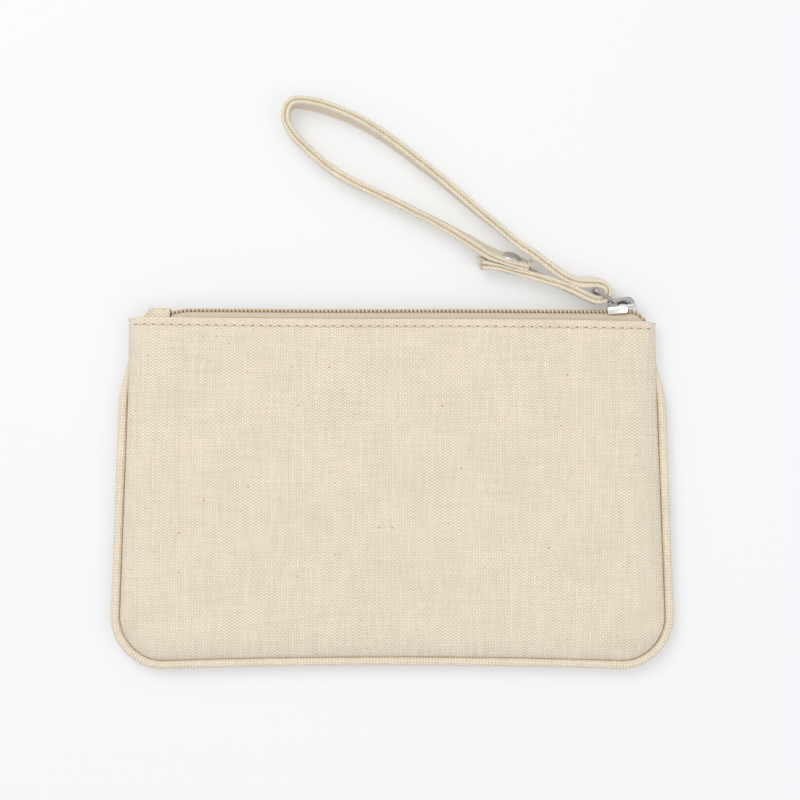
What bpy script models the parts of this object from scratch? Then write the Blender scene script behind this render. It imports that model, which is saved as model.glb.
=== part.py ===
"""Zippered canvas wristlet pouch.

Two canvas panels and their linings are sewn together over a corded piping, a coil zipper closes the
top, and a folded canvas wrist strap hangs from the slider's ring. The pouch lies on its back: +X is
to its right, +Y points to the zipper and +Z out of the front panel. Lengths are in metres.
"""

import math

import bmesh
import bpy
from mathutils import Matrix, Vector

MM = 0.001

# Panels: the outline is a trapezoid that widens to the bottom, with round bottom corners.
HEM_Y = 70 * MM
HEM_HALF = 105.2 * MM
CORNER_Y = -47 * MM
CORNER_HALF = 109.6 * MM
BOTTOM_Y = -66.9 * MM
CORNER_R = 18 * MM
CORNER_STEPS = 7
CANVAS = 0.8 * MM
LINING = 0.5 * MM
GAP = 0.3 * MM

# Heights: the seam is level with the piping, and the zipper's middle is a little above it.
SEAM_Z = 5.2 * MM
MIDDLE_Z = 6.5 * MM
FRONT_Z = 12.6 * MM
HEM_RISE = 5.75 * MM
RIM_LIFT = 0.75 * MM
RIM_WIDTH = 13 * MM
RIM_RINGS = (1.4 * MM, 2.2 * MM, 3.6 * MM, 5.8 * MM)
HEM_STRAIGHT = 97 * MM
LINING_INSET = 2.6 * MM
LINING_OFF = 2.75 * MM

# Piping: a cord in a bias-cut canvas cover, from the sides' upper ends round the bottom.
PIPING_R = 1.8 * MM
PIPING_WALL = 0.5 * MM
PIPING_CORD_R = 0.95 * MM
PIPING_OUT = 2.15 * MM
PIPING_TOP_Y = 50 * MM
THREAD_R = 0.22 * MM
SEAM_THREAD_OUT = 0.25 * MM
SEAM_THREAD_Z = 1.35 * MM

# Zipper: each tape stands in its hem and folds in under its coil row.
TAPE = 0.5 * MM
TAPE_OFF = 3.3 * MM
TAPE_LOW_Y = 58 * MM
TAPE_BEND_Y = 70.4 * MM
TAPE_TOP_Y = 72.05 * MM
TAPE_TURN = 0.95 * MM
TAPE_IN = 0.9 * MM
TAPE_LEFT = -88.5 * MM
TAPE_RIGHT = 96.6 * MM
COIL_LOW_Y = 72.6 * MM
COIL_TOP_Y = 74.4 * MM
COIL_IN = 0.7 * MM
COIL_OUT = 2.9 * MM
HEM_FOLD_HALF = 92 * MM
HEM_FOLD_OFF = 3.85 * MM
TAB_LEFT = -96.6 * MM
TAB_RIGHT = -88.9 * MM
TAB_LOW_Y = 70.3 * MM
TAB_TOP_Y = 74.8 * MM
TAB_HALF = 3.3 * MM
TAB_THREAD_X = -91.5 * MM
STITCH_Y = 66.8 * MM

# Slider, closed at the right end, and its ring.
SLIDER_LEFT = 85.9 * MM
SLIDER_RIGHT = 98.5 * MM
SLIDER_HALF = 4.3 * MM
SLIDER_TAIL_HALF = 3.5 * MM
SLIDER_NOSE = 2 * MM
SLIDER_OVERLAP = 0.2 * MM
PLATE_LOW_Y = 74.75 * MM
PLATE_TOP_Y = 75.75 * MM
FLANGE_LOW_Y = 72.95 * MM
FLANGE_IN = 3.25 * MM
FLANGE_RIGHT = 94 * MM
FLANGE_LEFT = 87.4 * MM
FLANGE_OUT = 3.9 * MM
SOLE_LOW_Y = 70.35 * MM
SOLE_TOP_Y = 71.4 * MM
SOLE_HALF = 2.1 * MM
WEDGE_HALF = 0.35 * MM
WEDGE_LEFT = 92 * MM
WEDGE_RIGHT = 97.5 * MM
BRIDGE_LEFT = 88.1 * MM
BRIDGE_RIGHT = 97.3 * MM
BRIDGE_Y = 78.8 * MM
BRIDGE_BAR = 1.2 * MM
BRIDGE_WIDTH = 3.2 * MM
BRIDGE_SHOULDER = 1.4 * MM
RING_PIVOT = (89.6 * MM, 76.8 * MM)
RING_FAR = (80.7 * MM, 81.8 * MM)
RING_BAR_R = 0.6 * MM
RING_INNER_HALF = 5.2 * MM
RING_CORNER_R = 1.6 * MM

# Wrist strap: a folded strip of two plies that stands on edge, from its cut tail round the ring's
# far bar and the loop's far turn to its folded end, which a rivet holds on the tail.
STRAP_WIDTH = 9.5 * MM
STRAP_PLY = 1.25 * MM
STRAP_GROOVE = 0.9 * MM
EDGE_THREAD_R = 0.15 * MM
STRAP_ROUTE_MM = (
    (35.9, 93.3), (38.3, 92.5), (42.3, 91.3), (46.4, 90.1), (51.1, 88.5), (55.3, 87.2), (59.3, 86.1),
    (63.3, 84.9), (67.1, 83.6), (71.1, 81.9), (75.0, 80.0), (78.5, 78.3), (81.5, 77.9), (83.9, 79.1),
    (85.0, 81.6), (83.7, 84.2), (80.6, 85.4), (77.0, 85.3), (73.8, 85.5), (71.1, 86.3), (67.1, 88.4),
    (63.6, 91.3), (59.5, 94.8), (55.5, 97.7), (51.4, 100.2), (47.3, 103.2), (43.1, 106.7), (35.1, 113.3),
    (26.9, 120.2), (18.8, 127.0), (10.7, 133.2), (2.7, 139.6), (-5.3, 145.2), (-13.3, 150.0),
    (-21.2, 153.5), (-29.1, 156.3), (-35.0, 157.6), (-39.7, 157.5), (-42.0, 155.4), (-42.9, 152.2),
    (-42.2, 148.6), (-38.9, 143.4), (-34.9, 139.4), (-30.9, 135.6), (-24.9, 130.6), (-16.9, 125.8),
    (-8.9, 122.0), (-0.9, 118.5), (7.2, 114.3), (15.2, 110.7), (23.4, 106.0), (31.5, 101.1), (35.8, 98.4),
    (39.6, 96.5), (43.7, 95.2), (47.8, 93.9), (51.8, 92.5), (55.4, 91.4))
STRAP_SAMPLES = 2
RIVET_AT = (47.8 * MM, 93.9 * MM)
RIVET_AXIS_DEG = 71
RIVET_HOLE_R = 2.35 * MM
RIVET_HOLE_LOW = -12 * MM
RIVET_HOLE_HIGH = 4 * MM
RIVET_CAP_R = 4.0 * MM
RIVET_CAP_HEIGHT = 1.1 * MM
RIVET_SOCKET_R = 2.0 * MM
RIVET_STUD_R = 1.3 * MM
RIVET_STUD_SHORT = 1.2 * MM
RIVET_DOME = ((0, 1), (0.5, 0.87), (0.85, 0.5), (1, 0))
RIVET_STEPS = 20
TAIL_DROP = 4.0 * MM
BAR_TACK_AT = (73.0 * MM, 83.4 * MM)
BAR_TACK_R = 0.3 * MM

EMPTY_SIZE = 5 * MM


def clear_scene():
    for scene_object in list(bpy.data.objects):
        bpy.data.objects.remove(scene_object, do_unlink=True)


def new_collection(name):
    collection = bpy.data.collections.new(name)
    bpy.context.scene.collection.children.link(collection)
    return collection


def material(name, colour, roughness, metallic=0.0):
    made = bpy.data.materials.new(name)
    made.use_nodes = True
    shader = made.node_tree.nodes["Principled BSDF"]
    shader.inputs["Base Color"].default_value = (*colour, 1.0)
    shader.inputs["Roughness"].default_value = roughness
    shader.inputs["Metallic"].default_value = metallic
    return made


def add_object(name, data, coat, parent=None):
    made = bpy.data.objects.new(name, data)
    PARTS.objects.link(made)
    data.materials.append(coat)
    if parent is not None:
        made.parent = parent
        made.matrix_parent_inverse = Matrix.Translation(-parent.location)
    return made


def mesh_from(name, bm):
    bmesh.ops.recalc_face_normals(bm, faces=bm.faces)
    mesh = bpy.data.meshes.new(name)
    bm.to_mesh(mesh)
    bm.free()
    mesh.shade_smooth()
    mesh.set_sharp_from_angle(angle=math.radians(35))
    return mesh


def solidify(target, thickness, offset, even=True):
    shell = target.modifiers.new("Thickness", "SOLIDIFY")
    shell.thickness = thickness
    shell.offset = offset
    shell.use_even_offset = even


def boolean(target, cutter, operation):
    cut = target.modifiers.new(operation.title(), "BOOLEAN")
    cut.operation = operation
    cut.object = cutter
    cut.solver = "EXACT"
    CUTTERS.objects.link(cutter)
    cutter.hide_render = True
    cutter.display_type = "WIRE"


def block_mesh(name, low, high):
    bm = bmesh.new()
    bmesh.ops.create_cube(bm, size=1.0)
    size = Vector(high) - Vector(low)
    bmesh.ops.scale(bm, vec=size, verts=bm.verts)
    bmesh.ops.translate(bm, vec=Vector(low) + size / 2, verts=bm.verts)
    return mesh_from(name, bm)


def prism_mesh(name, outline, depth):
    """A prism on an outline of 3D points in one plane, extruded by the vector depth."""
    bm = bmesh.new()
    face = bm.faces.new([bm.verts.new(point) for point in outline])
    extruded = bmesh.ops.extrude_face_region(bm, geom=[face])
    moved = [item for item in extruded["geom"] if isinstance(item, bmesh.types.BMVert)]
    bmesh.ops.translate(bm, vec=depth, verts=moved)
    return mesh_from(name, bm)


def ribbon_mesh(name, points, depth):
    """An open strip swept from a polyline of 3D points along the vector depth."""
    bm = bmesh.new()
    verts = [bm.verts.new(point) for point in points]
    edges = [bm.edges.new(pair) for pair in zip(verts, verts[1:])]
    extruded = bmesh.ops.extrude_edge_only(bm, edges=edges)
    moved = [item for item in extruded["geom"] if isinstance(item, bmesh.types.BMVert)]
    bmesh.ops.translate(bm, vec=depth, verts=moved)
    mesh = bpy.data.meshes.new(name)
    bm.to_mesh(mesh)
    bm.free()
    return mesh


def tube_curve(name, points, radius, resolution, cyclic=False, caps=True):
    curve = bpy.data.curves.new(name, "CURVE")
    curve.dimensions = "3D"
    curve.bevel_depth = radius
    curve.bevel_resolution = resolution
    curve.use_fill_caps = caps
    spline = curve.splines.new("POLY")
    spline.points.add(len(points) - 1)
    spline.use_cyclic_u = cyclic
    for spline_point, place in zip(spline.points, points):
        spline_point.co = (*place, 1.0)
    return curve


def corner_arc(side, outset):
    """The round bottom corner on one side, from the side edge to the bottom edge, moved outwards."""
    centre = Vector((side * (CORNER_HALF - CORNER_R), BOTTOM_Y + CORNER_R))
    radius = CORNER_R + outset
    points = []
    for step in range(CORNER_STEPS + 1):
        angle = math.radians(90 * step / CORNER_STEPS)
        points.append(centre + Vector((side * math.cos(angle), -math.sin(angle))) * radius)
    return points


def side_half(y):
    """Half the panel's width at a height y on its straight side."""
    return CORNER_HALF + (HEM_HALF - CORNER_HALF) * (y - CORNER_Y) / (HEM_Y - CORNER_Y)


def seam_route(outset, top_y):
    """The seam from the left side's top round the bottom to the right side's top."""
    left_side = [Vector((-side_half(y) - outset, y)) for y in (top_y, (top_y + CORNER_Y) / 2)]
    left = left_side + corner_arc(-1, outset)
    right = [Vector((-point.x, point.y)) for point in reversed(left)]
    return left + [Vector((0, BOTTOM_Y - outset))] + right


def hem_share(x):
    """How much of the hem's full height is left at x: all of it, then a quarter round to the seam."""
    past = max(0.0, abs(x) - HEM_STRAIGHT) / (HEM_HALF - HEM_STRAIGHT)
    return math.sqrt(max(0.0, 1.0 - past * past))


def edge_share(x, y):
    """How far a point of a panel's edge belongs to the open hem (1) and not to the seam (0)."""
    return hem_share(x) if y > HEM_Y - LINING_INSET - GAP else 0.0


def panel_outline(inset):
    """The whole edge of a panel moved inwards, always with the same number of points."""
    outline = seam_route(-inset, HEM_Y - inset)
    corner = side_half(HEM_Y - inset) - inset
    straight = HEM_STRAIGHT - inset
    hem_xs = [straight + (corner - straight) * share for share in (0.85, 0.5, 0.0)]
    return outline + [Vector((x, HEM_Y - inset)) for x in hem_xs + [-x for x in reversed(hem_xs)]]


def panel_shell(name, inset, flat_z, rim_z, hem_z, thickness, coat):
    """A panel lofted from its edge to its flat middle: curved to the seam, straight to the open hem."""
    bm = bmesh.new()
    ring_width = 0.0
    rings = []
    shares = [edge_share(*point) for point in panel_outline(inset)]
    for width in (0.0,) + RIM_RINGS:
        ring_width += width
        past = ring_width / RIM_WIDTH
        seam_rise = math.sqrt(max(0.0, 1 - (1 - past) ** 2))
        ring = []
        for (x, y), share in zip(panel_outline(inset + ring_width), shares):
            edge_z = rim_z + (hem_z - rim_z) * share
            rise = seam_rise + (past - seam_rise) * share
            ring.append(bm.verts.new((x, y, edge_z + (flat_z - edge_z) * rise)))
        rings.append(ring)
    for outer, inner in zip(rings, rings[1:]):
        for index in range(len(outer)):
            bm.faces.new((outer[index - 1], outer[index], inner[index], inner[index - 1]))
    middle = bm.faces.new(rings[-1])
    bmesh.ops.recalc_face_normals(bm, faces=bm.faces)
    facing_out = 1 if flat_z > SEAM_Z else -1
    if middle.normal.z * facing_out < 0:
        bmesh.ops.reverse_faces(bm, faces=bm.faces)
    mesh = bpy.data.meshes.new(name)
    bm.to_mesh(mesh)
    bm.free()
    mesh.shade_smooth()
    shell = add_object(name, mesh, coat)
    solidify(shell, thickness, -1, even=False)


def add_panels():
    canvas = {side: material(f"{side}_canvas", (0.80, 0.71, 0.57), 0.92) for side in ("front", "back")}
    lining = {side: material(f"{side}_lining", (0.76, 0.70, 0.60), 0.9) for side in ("front", "back")}
    panel_shell("front_panel", 0, FRONT_Z, SEAM_Z + RIM_LIFT, MIDDLE_Z + HEM_RISE, CANVAS, canvas["front"])
    panel_shell("back_panel", 0, 0, SEAM_Z - RIM_LIFT, MIDDLE_Z - HEM_RISE, CANVAS, canvas["back"])
    for side, sign in (("front", 1), ("back", -1)):
        level = MIDDLE_Z + sign * LINING_OFF
        rim = SEAM_Z + sign * RIM_LIFT
        panel_shell(f"{side}_lining", LINING_INSET, level, rim, level, LINING, lining[side])


def add_piping():
    route = [(*point, SEAM_Z) for point in seam_route(PIPING_OUT, PIPING_TOP_Y)]
    cover = tube_curve("piping_cover", route, PIPING_R, 2, caps=False)
    cover_object = add_object("piping_cover", cover, material("piping_canvas", (0.82, 0.74, 0.62), 0.9))
    solidify(cover_object, PIPING_WALL, -1)
    cord = tube_curve("piping_cord", route, PIPING_CORD_R, 1)
    add_object("piping_cord", cord, material("piping_filler", (0.85, 0.82, 0.76), 0.95))
    thread = material("seam_thread", (0.45, 0.33, 0.19), 0.8)
    for name, lift in (("seam_thread_front", SEAM_THREAD_Z), ("seam_thread_back", -SEAM_THREAD_Z)):
        thread_route = [(*point, SEAM_Z + lift) for point in seam_route(SEAM_THREAD_OUT, PIPING_TOP_Y)]
        add_object(name, tube_curve(name, thread_route, THREAD_R, 0), thread)


def add_zipper():
    tape = material("zip_tape", (0.62, 0.52, 0.40), 0.85)
    coil = material("zip_coil", (0.66, 0.56, 0.43), 0.5)
    canvas = material("hem_canvas", (0.78, 0.69, 0.56), 0.92)
    length = Vector((TAPE_RIGHT - TAPE_LEFT, 0, 0))
    for side, sign in (("front", 1), ("back", -1)):
        section = ((TAPE_LOW_Y, TAPE_OFF), (TAPE_BEND_Y, TAPE_OFF), (TAPE_TOP_Y, TAPE_OFF - TAPE_TURN),
                   (TAPE_TOP_Y, TAPE_IN))
        line = [(TAPE_LEFT, y, MIDDLE_Z + sign * off) for y, off in section]
        tape_object = add_object(f"zip_tape_{side}", ribbon_mesh("tape", line, length), tape)
        solidify(tape_object, TAPE, 0)
        coil_z = sorted((MIDDLE_Z + sign * COIL_IN, MIDDLE_Z + sign * COIL_OUT))
        low = (TAPE_LEFT, COIL_LOW_Y, coil_z[0])
        high = (TAPE_RIGHT, COIL_TOP_Y, coil_z[1])
        add_object(f"zip_coil_{side}", block_mesh("coil", low, high), coil)
        hem_z = sorted((MIDDLE_Z + sign * HEM_FOLD_OFF, MIDDLE_Z + sign * (HEM_FOLD_OFF + CANVAS)))
        low = (-HEM_FOLD_HALF, TAPE_LOW_Y, hem_z[0])
        high = (HEM_FOLD_HALF, HEM_Y, hem_z[1])
        add_object(f"hem_fold_{side}", block_mesh("hem", low, high), canvas)


def add_end_tab():
    outline = ((TAB_LEFT, TAB_LOW_Y), (TAB_RIGHT, TAB_LOW_Y), (TAB_RIGHT, TAB_TOP_Y), (TAB_LEFT, TAB_TOP_Y))
    points = [(x, y, MIDDLE_Z - TAB_HALF) for x, y in outline]
    mesh = prism_mesh("end_tab", points, Vector((0, 0, 2 * TAB_HALF)))
    add_object("zip_end_tab", mesh, material("tab_canvas", (0.80, 0.72, 0.60), 0.92))
    ends = ((TAB_THREAD_X, TAB_TOP_Y + GAP + THREAD_R, MIDDLE_Z - TAB_HALF + GAP),
            (TAB_THREAD_X, TAB_TOP_Y + GAP + THREAD_R, MIDDLE_Z + TAB_HALF - GAP))
    add_object("zip_end_tab_stitch", tube_curve("tab_stitch", ends, THREAD_R, 0),
               material("tab_thread", (0.62, 0.50, 0.34), 0.8))


def add_topstitch():
    thread = material("topstitch_thread", (0.55, 0.42, 0.26), 0.8)
    offset = HEM_RISE + GAP + THREAD_R
    for side, sign in (("front", 1), ("back", -1)):
        z = MIDDLE_Z + sign * offset
        ends = ((-HEM_STRAIGHT, STITCH_Y, z), (HEM_STRAIGHT, STITCH_Y, z))
        add_object(f"topstitch_{side}", tube_curve("topstitch", ends, THREAD_R, 0), thread)


def add_slider(carrier):
    metal = material("slider_metal", (0.72, 0.72, 0.71), 0.25, 1.0)
    half = SLIDER_HALF
    tail = SLIDER_TAIL_HALF
    outline = ((SLIDER_LEFT, -tail + MM), (SLIDER_LEFT + MM, -tail), (FLANGE_RIGHT, -half),
               (SLIDER_RIGHT - SLIDER_NOSE, -half), (SLIDER_RIGHT, -half + SLIDER_NOSE))
    outline += tuple((x, -off) for x, off in reversed(outline))
    points = [(x, PLATE_LOW_Y, MIDDLE_Z + off) for x, off in outline]
    plate = prism_mesh("plate", points, Vector((0, PLATE_TOP_Y - PLATE_LOW_Y, 0)))
    slider = add_object("slider_body", plate, metal, carrier)
    overlap = SLIDER_OVERLAP
    blocks = []
    for sign in (1, -1):
        rim_z = sorted((MIDDLE_Z + sign * FLANGE_IN, MIDDLE_Z + sign * FLANGE_OUT))
        blocks.append(((FLANGE_LEFT, FLANGE_LOW_Y, rim_z[0]),
                       (FLANGE_RIGHT, PLATE_LOW_Y + overlap, rim_z[1])))
    blocks.append(((WEDGE_LEFT, SOLE_TOP_Y - overlap, MIDDLE_Z - WEDGE_HALF),
                   (WEDGE_RIGHT, PLATE_LOW_Y + overlap, MIDDLE_Z + WEDGE_HALF)))
    blocks.append(((SLIDER_LEFT + MM, SOLE_LOW_Y, MIDDLE_Z - SOLE_HALF),
                   (SLIDER_RIGHT - MM, SOLE_TOP_Y, MIDDLE_Z + SOLE_HALF)))
    for low, high in blocks:
        block = bpy.data.objects.new("slider_block", block_mesh("block", low, high))
        boolean(slider, block, "UNION")


def add_bridge(carrier):
    foot = PLATE_TOP_Y + GAP
    rise = BRIDGE_Y - foot
    line = [(BRIDGE_LEFT, foot), (BRIDGE_LEFT, foot + rise / 2)]
    line += [(BRIDGE_LEFT + BRIDGE_SHOULDER, BRIDGE_Y), (BRIDGE_RIGHT - BRIDGE_SHOULDER, BRIDGE_Y)]
    line += [(BRIDGE_RIGHT, foot + rise / 2), (BRIDGE_RIGHT, foot)]
    points = [(x, y, MIDDLE_Z - BRIDGE_WIDTH / 2) for x, y in line]
    mesh = ribbon_mesh("bridge", points, Vector((0, 0, BRIDGE_WIDTH)))
    metal = material("bridge_metal", (0.74, 0.74, 0.73), 0.22, 1.0)
    bridge = add_object("slider_bridge", mesh, metal, carrier)
    solidify(bridge, BRIDGE_BAR, 0)


def add_ring(pivot):
    """A flat rectangular wire ring, with its pivot bar under the bridge and its far bar in the strap."""
    start = Vector((*RING_PIVOT, 0))
    along = Vector((*RING_FAR, 0)) - start
    length = along.length
    along.normalize()
    half = RING_INNER_HALF + RING_BAR_R
    corners = ((0, -half, 180), (length, -half, 270), (length, half, 0), (0, half, 90))
    points = []
    for reach, off, first in corners:
        inward = RING_CORNER_R if reach == 0 else -RING_CORNER_R
        centre = (reach + inward, off - math.copysign(RING_CORNER_R, off))
        for step in range(4):
            angle = math.radians(first + 30 * step)
            place = start + along * (centre[0] + RING_CORNER_R * math.cos(angle))
            height = centre[1] + RING_CORNER_R * math.sin(angle)
            points.append((place.x, place.y, MIDDLE_Z + height))
    curve = tube_curve("puller_ring", points, RING_BAR_R, 2, cyclic=True, caps=False)
    add_object("puller_ring", curve, material("ring_metal", (0.70, 0.70, 0.70), 0.2, 1.0), pivot)


def strap_route():
    """The strap's middle line, smoothed through its route by Catmull-Rom spans."""
    route = [Vector(point) * MM for point in STRAP_ROUTE_MM]
    padded = [route[0] * 2 - route[1]] + route + [route[-1] * 2 - route[-2]]
    line = []
    for before, start, end, after in zip(padded, padded[1:], padded[2:], padded[3:]):
        for step in range(STRAP_SAMPLES):
            t = step / STRAP_SAMPLES
            line.append(0.5 * (2 * start + (end - before) * t
                               + (2 * before - 5 * start + 4 * end - after) * t * t
                               + (3 * start - before - 3 * end + after) * t ** 3))
    line.append(route[-1])
    return line


def offset_line(line, distance):
    """A 2D line moved sideways, to its left where distance is positive."""
    moved = []
    for index, point in enumerate(line):
        ahead = line[min(index + 1, len(line) - 1)]
        behind = line[max(index - 1, 0)]
        along = (ahead - behind).normalized()
        moved.append(point + Vector((-along.y, along.x)) * distance)
    return moved


def add_strap(pivot):
    line = strap_route()
    low = MIDDLE_Z - STRAP_WIDTH / 2
    width = Vector((0, 0, STRAP_WIDTH))
    axis = Vector((math.cos(math.radians(RIVET_AXIS_DEG)), math.sin(math.radians(RIVET_AXIS_DEG)), 0))
    hole_profile = ((0, RIVET_HOLE_LOW), (RIVET_HOLE_R, RIVET_HOLE_LOW), (RIVET_HOLE_R, RIVET_HOLE_HIGH),
                    (0, RIVET_HOLE_HIGH))
    for name, sign, tone in (("strap_inner_ply", 1, 0.80), ("strap_outer_ply", -1, 0.82)):
        side = offset_line(line, sign * (STRAP_PLY + STRAP_GROOVE) / 2)
        mesh = ribbon_mesh(name, [(*point, low) for point in side], width)
        ply = add_object(name, mesh, material(f"{name}_canvas", (tone, tone - 0.08, tone - 0.2), 0.92), pivot)
        solidify(ply, STRAP_PLY, 0)
        boolean(ply, rivet_part("rivet_hole", hole_profile, axis), "DIFFERENCE")
    edge = [(*point, low + STRAP_WIDTH - 2 * EDGE_THREAD_R) for point in line]
    add_object("strap_edge_stitch", tube_curve("edge_stitch", edge, EDGE_THREAD_R, 0),
               material("edge_thread", (0.5, 0.37, 0.22), 0.8), pivot)
    tack = [(*BAR_TACK_AT, low + MM), (*BAR_TACK_AT, low + STRAP_WIDTH - MM)]
    add_object("strap_bar_tack", tube_curve("bar_tack", tack, BAR_TACK_R, 1),
               material("tack_thread", (0.55, 0.42, 0.26), 0.8), pivot)
    return axis


def rivet_part(name, profile, axis):
    """A turned piece from (radius, height) points on the rivet's axis, not yet in a collection."""
    bm = bmesh.new()
    verts = [bm.verts.new((radius, 0, height)) for radius, height in profile]
    for pair in zip(verts, verts[1:]):
        bm.edges.new(pair)
    bmesh.ops.spin(bm, geom=bm.verts[:] + bm.edges[:], cent=(0, 0, 0), axis=(0, 0, 1),
                   angle=math.tau, steps=RIVET_STEPS, use_merge=True)
    bmesh.ops.remove_doubles(bm, verts=bm.verts, dist=0.00001)
    turn = axis.to_track_quat("Z", "Y").to_matrix().to_4x4()
    bmesh.ops.transform(bm, matrix=Matrix.Translation((*RIVET_AT, MIDDLE_Z)) @ turn, verts=bm.verts)
    return bpy.data.objects.new(name, mesh_from(name, bm))


def add_rivet(pivot, axis):
    half = STRAP_PLY + STRAP_GROOVE / 2
    top = half + GAP
    bottom = -TAIL_DROP - half - GAP
    dome = [(RIVET_CAP_R * radius, RIVET_CAP_HEIGHT * height) for radius, height in RIVET_DOME]
    stud_end = bottom + RIVET_STUD_SHORT
    cap_profile = [(radius, top + height) for radius, height in dome]
    cap_profile += [(RIVET_STUD_R, top), (RIVET_STUD_R, stud_end), (0, stud_end)]
    wall_top = top - GAP
    base_profile = [(0, bottom + GAP), (RIVET_STUD_R + GAP, bottom + GAP), (RIVET_STUD_R + GAP, wall_top),
                    (RIVET_SOCKET_R, wall_top), (RIVET_SOCKET_R, bottom)]
    base_profile += [(radius, bottom - height) for radius, height in reversed(dome)]
    pieces = (("rivet_cap", cap_profile), ("rivet_base", base_profile))
    for name, profile in pieces:
        piece = rivet_part(name, profile, axis)
        piece.data.materials.append(material(f"{name}_metal", (0.55, 0.54, 0.52), 0.3, 1.0))
        PARTS.objects.link(piece)
        piece.parent = pivot
        piece.matrix_parent_inverse = Matrix.Translation(-pivot.location)


def joint_empty(name, place, parent=None):
    empty = bpy.data.objects.new(name, None)
    PARTS.objects.link(empty)
    empty.location = place
    empty.empty_display_size = EMPTY_SIZE
    if parent is not None:
        empty.parent = parent
        empty.matrix_parent_inverse = Matrix.Translation(-parent.location)
    return empty


clear_scene()
PARTS = new_collection("zippered_pouch")
CUTTERS = new_collection("cutters")
add_panels()
add_piping()
add_zipper()
add_end_tab()
add_topstitch()
slide = joint_empty("slider_slide_axis", (SLIDER_LEFT, PLATE_LOW_Y, MIDDLE_Z))
swing = joint_empty("puller_swing_axis", (*RING_PIVOT, MIDDLE_Z))
strap_swing = joint_empty("strap_swing_axis", (*RING_FAR, MIDDLE_Z))
add_slider(slide)
add_bridge(slide)
add_ring(swing)
rivet_axis = add_strap(strap_swing)
add_rivet(strap_swing, rivet_axis)
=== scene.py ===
"""The looks of a zippered canvas wristlet pouch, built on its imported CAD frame.

Lengths are in metres, and sizes given in millimetres are multiplied by MM. The pouch lies on its back:
+X is to its right, +Y points to the zipper and +Z out of the front panel.
"""
import math

import bmesh
import bpy
import numpy as np
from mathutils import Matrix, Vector


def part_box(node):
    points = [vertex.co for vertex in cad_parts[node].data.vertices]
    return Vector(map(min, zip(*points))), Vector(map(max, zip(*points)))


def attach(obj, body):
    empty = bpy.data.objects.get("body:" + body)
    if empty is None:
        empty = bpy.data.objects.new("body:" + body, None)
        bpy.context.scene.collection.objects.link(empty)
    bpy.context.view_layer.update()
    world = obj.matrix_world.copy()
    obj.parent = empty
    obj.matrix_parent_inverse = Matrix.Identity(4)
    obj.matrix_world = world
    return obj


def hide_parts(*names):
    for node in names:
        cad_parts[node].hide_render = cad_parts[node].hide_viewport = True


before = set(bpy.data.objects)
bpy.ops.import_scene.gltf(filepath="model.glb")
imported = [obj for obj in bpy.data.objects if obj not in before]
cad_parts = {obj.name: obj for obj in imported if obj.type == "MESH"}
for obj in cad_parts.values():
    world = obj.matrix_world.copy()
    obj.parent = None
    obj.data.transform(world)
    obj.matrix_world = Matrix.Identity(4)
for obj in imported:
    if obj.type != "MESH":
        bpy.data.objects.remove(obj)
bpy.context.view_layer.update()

MM = 0.001
UP = np.array((0.0, 0.0, 1.0))
RANDOM = np.random.default_rng(7)
SIDES = ((1, "front"), (-1, "back"))

# Places read from the frame.
PANEL_LOW, PANEL_HIGH = (np.array(corner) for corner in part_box("front_panel"))
PIPE_LOW, PIPE_HIGH = (np.array(corner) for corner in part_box("piping_cover"))
TAPE_LOW, TAPE_HIGH = (np.array(corner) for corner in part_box("zip_tape_front"))
COIL_LOW, COIL_HIGH = (np.array(corner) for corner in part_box("zip_coil_front"))
TAB_LOW, TAB_HIGH = (np.array(corner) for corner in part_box("zip_end_tab"))
SLIDER_LOW, SLIDER_HIGH = (np.array(corner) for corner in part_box("slider_body"))

MIDDLE_Z = (TAB_LOW[2] + TAB_HIGH[2]) / 2
SEAM_Z = (PIPE_LOW[2] + PIPE_HIGH[2]) / 2
FRONT_Z = PANEL_HIGH[2]
HEM_Y = PANEL_HIGH[1] - 0.15 * MM
BOTTOM_Y = PANEL_LOW[1]
CORNER_HALF = PANEL_HIGH[0]

# The panels' outline and depth, as the CAD model has them; an OFF is a distance from the pouch's middle.
HEM_HALF = 105.2 * MM
CORNER_R = 18 * MM
CORNER_Y = BOTTOM_Y + CORNER_R
RIM_WIDTH = 13 * MM
HEM_OFF = 5.75 * MM
HEM_FOLD_OFF = 3.85 * MM
HEM_DEPTH = 11 * MM
RIM_LIFT = 0.6 * MM
RIM_CLOSE = 0.55 * MM

# Thread pitches across and along the cloth, in mm.
PANEL_WARP, PANEL_WEFT = 1.05, 0.64
PIPING_WARP, PIPING_WEFT = 0.92, 0.86
STRAP_WARP, STRAP_WEFT = 0.80, 0.72

# Thicknesses of the cloths, and radii of the piping and the threads.
PANEL_PLY, LINING_PLY, TAPE_PLY, TAB_PLY = 0.55 * MM, 0.35 * MM, 0.4 * MM, 0.6 * MM
PIPING_R, SEAM_THREAD_R, TOP_THREAD_R, STRAP_THREAD_R = 1.95 * MM, 0.16 * MM, 0.25 * MM, 0.24 * MM
LINING_INSET = 2.7 * MM

# The topstitching, and how the real cloth departs from its straight outline.
STITCH_PITCH = 3.6 * MM
STITCH_Y = HEM_Y - 3.0 * MM
STITCH_COUNT = 58
STITCH_DIP = 0.45 * MM
BOTTOM_BOW = 1.6 * MM
HEM_TILT = 0.9 * MM
HEM_RISE = 0.3 * MM
HEM_CORNER_DROP = 0.6 * MM


# ---------------- material nodes


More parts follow.
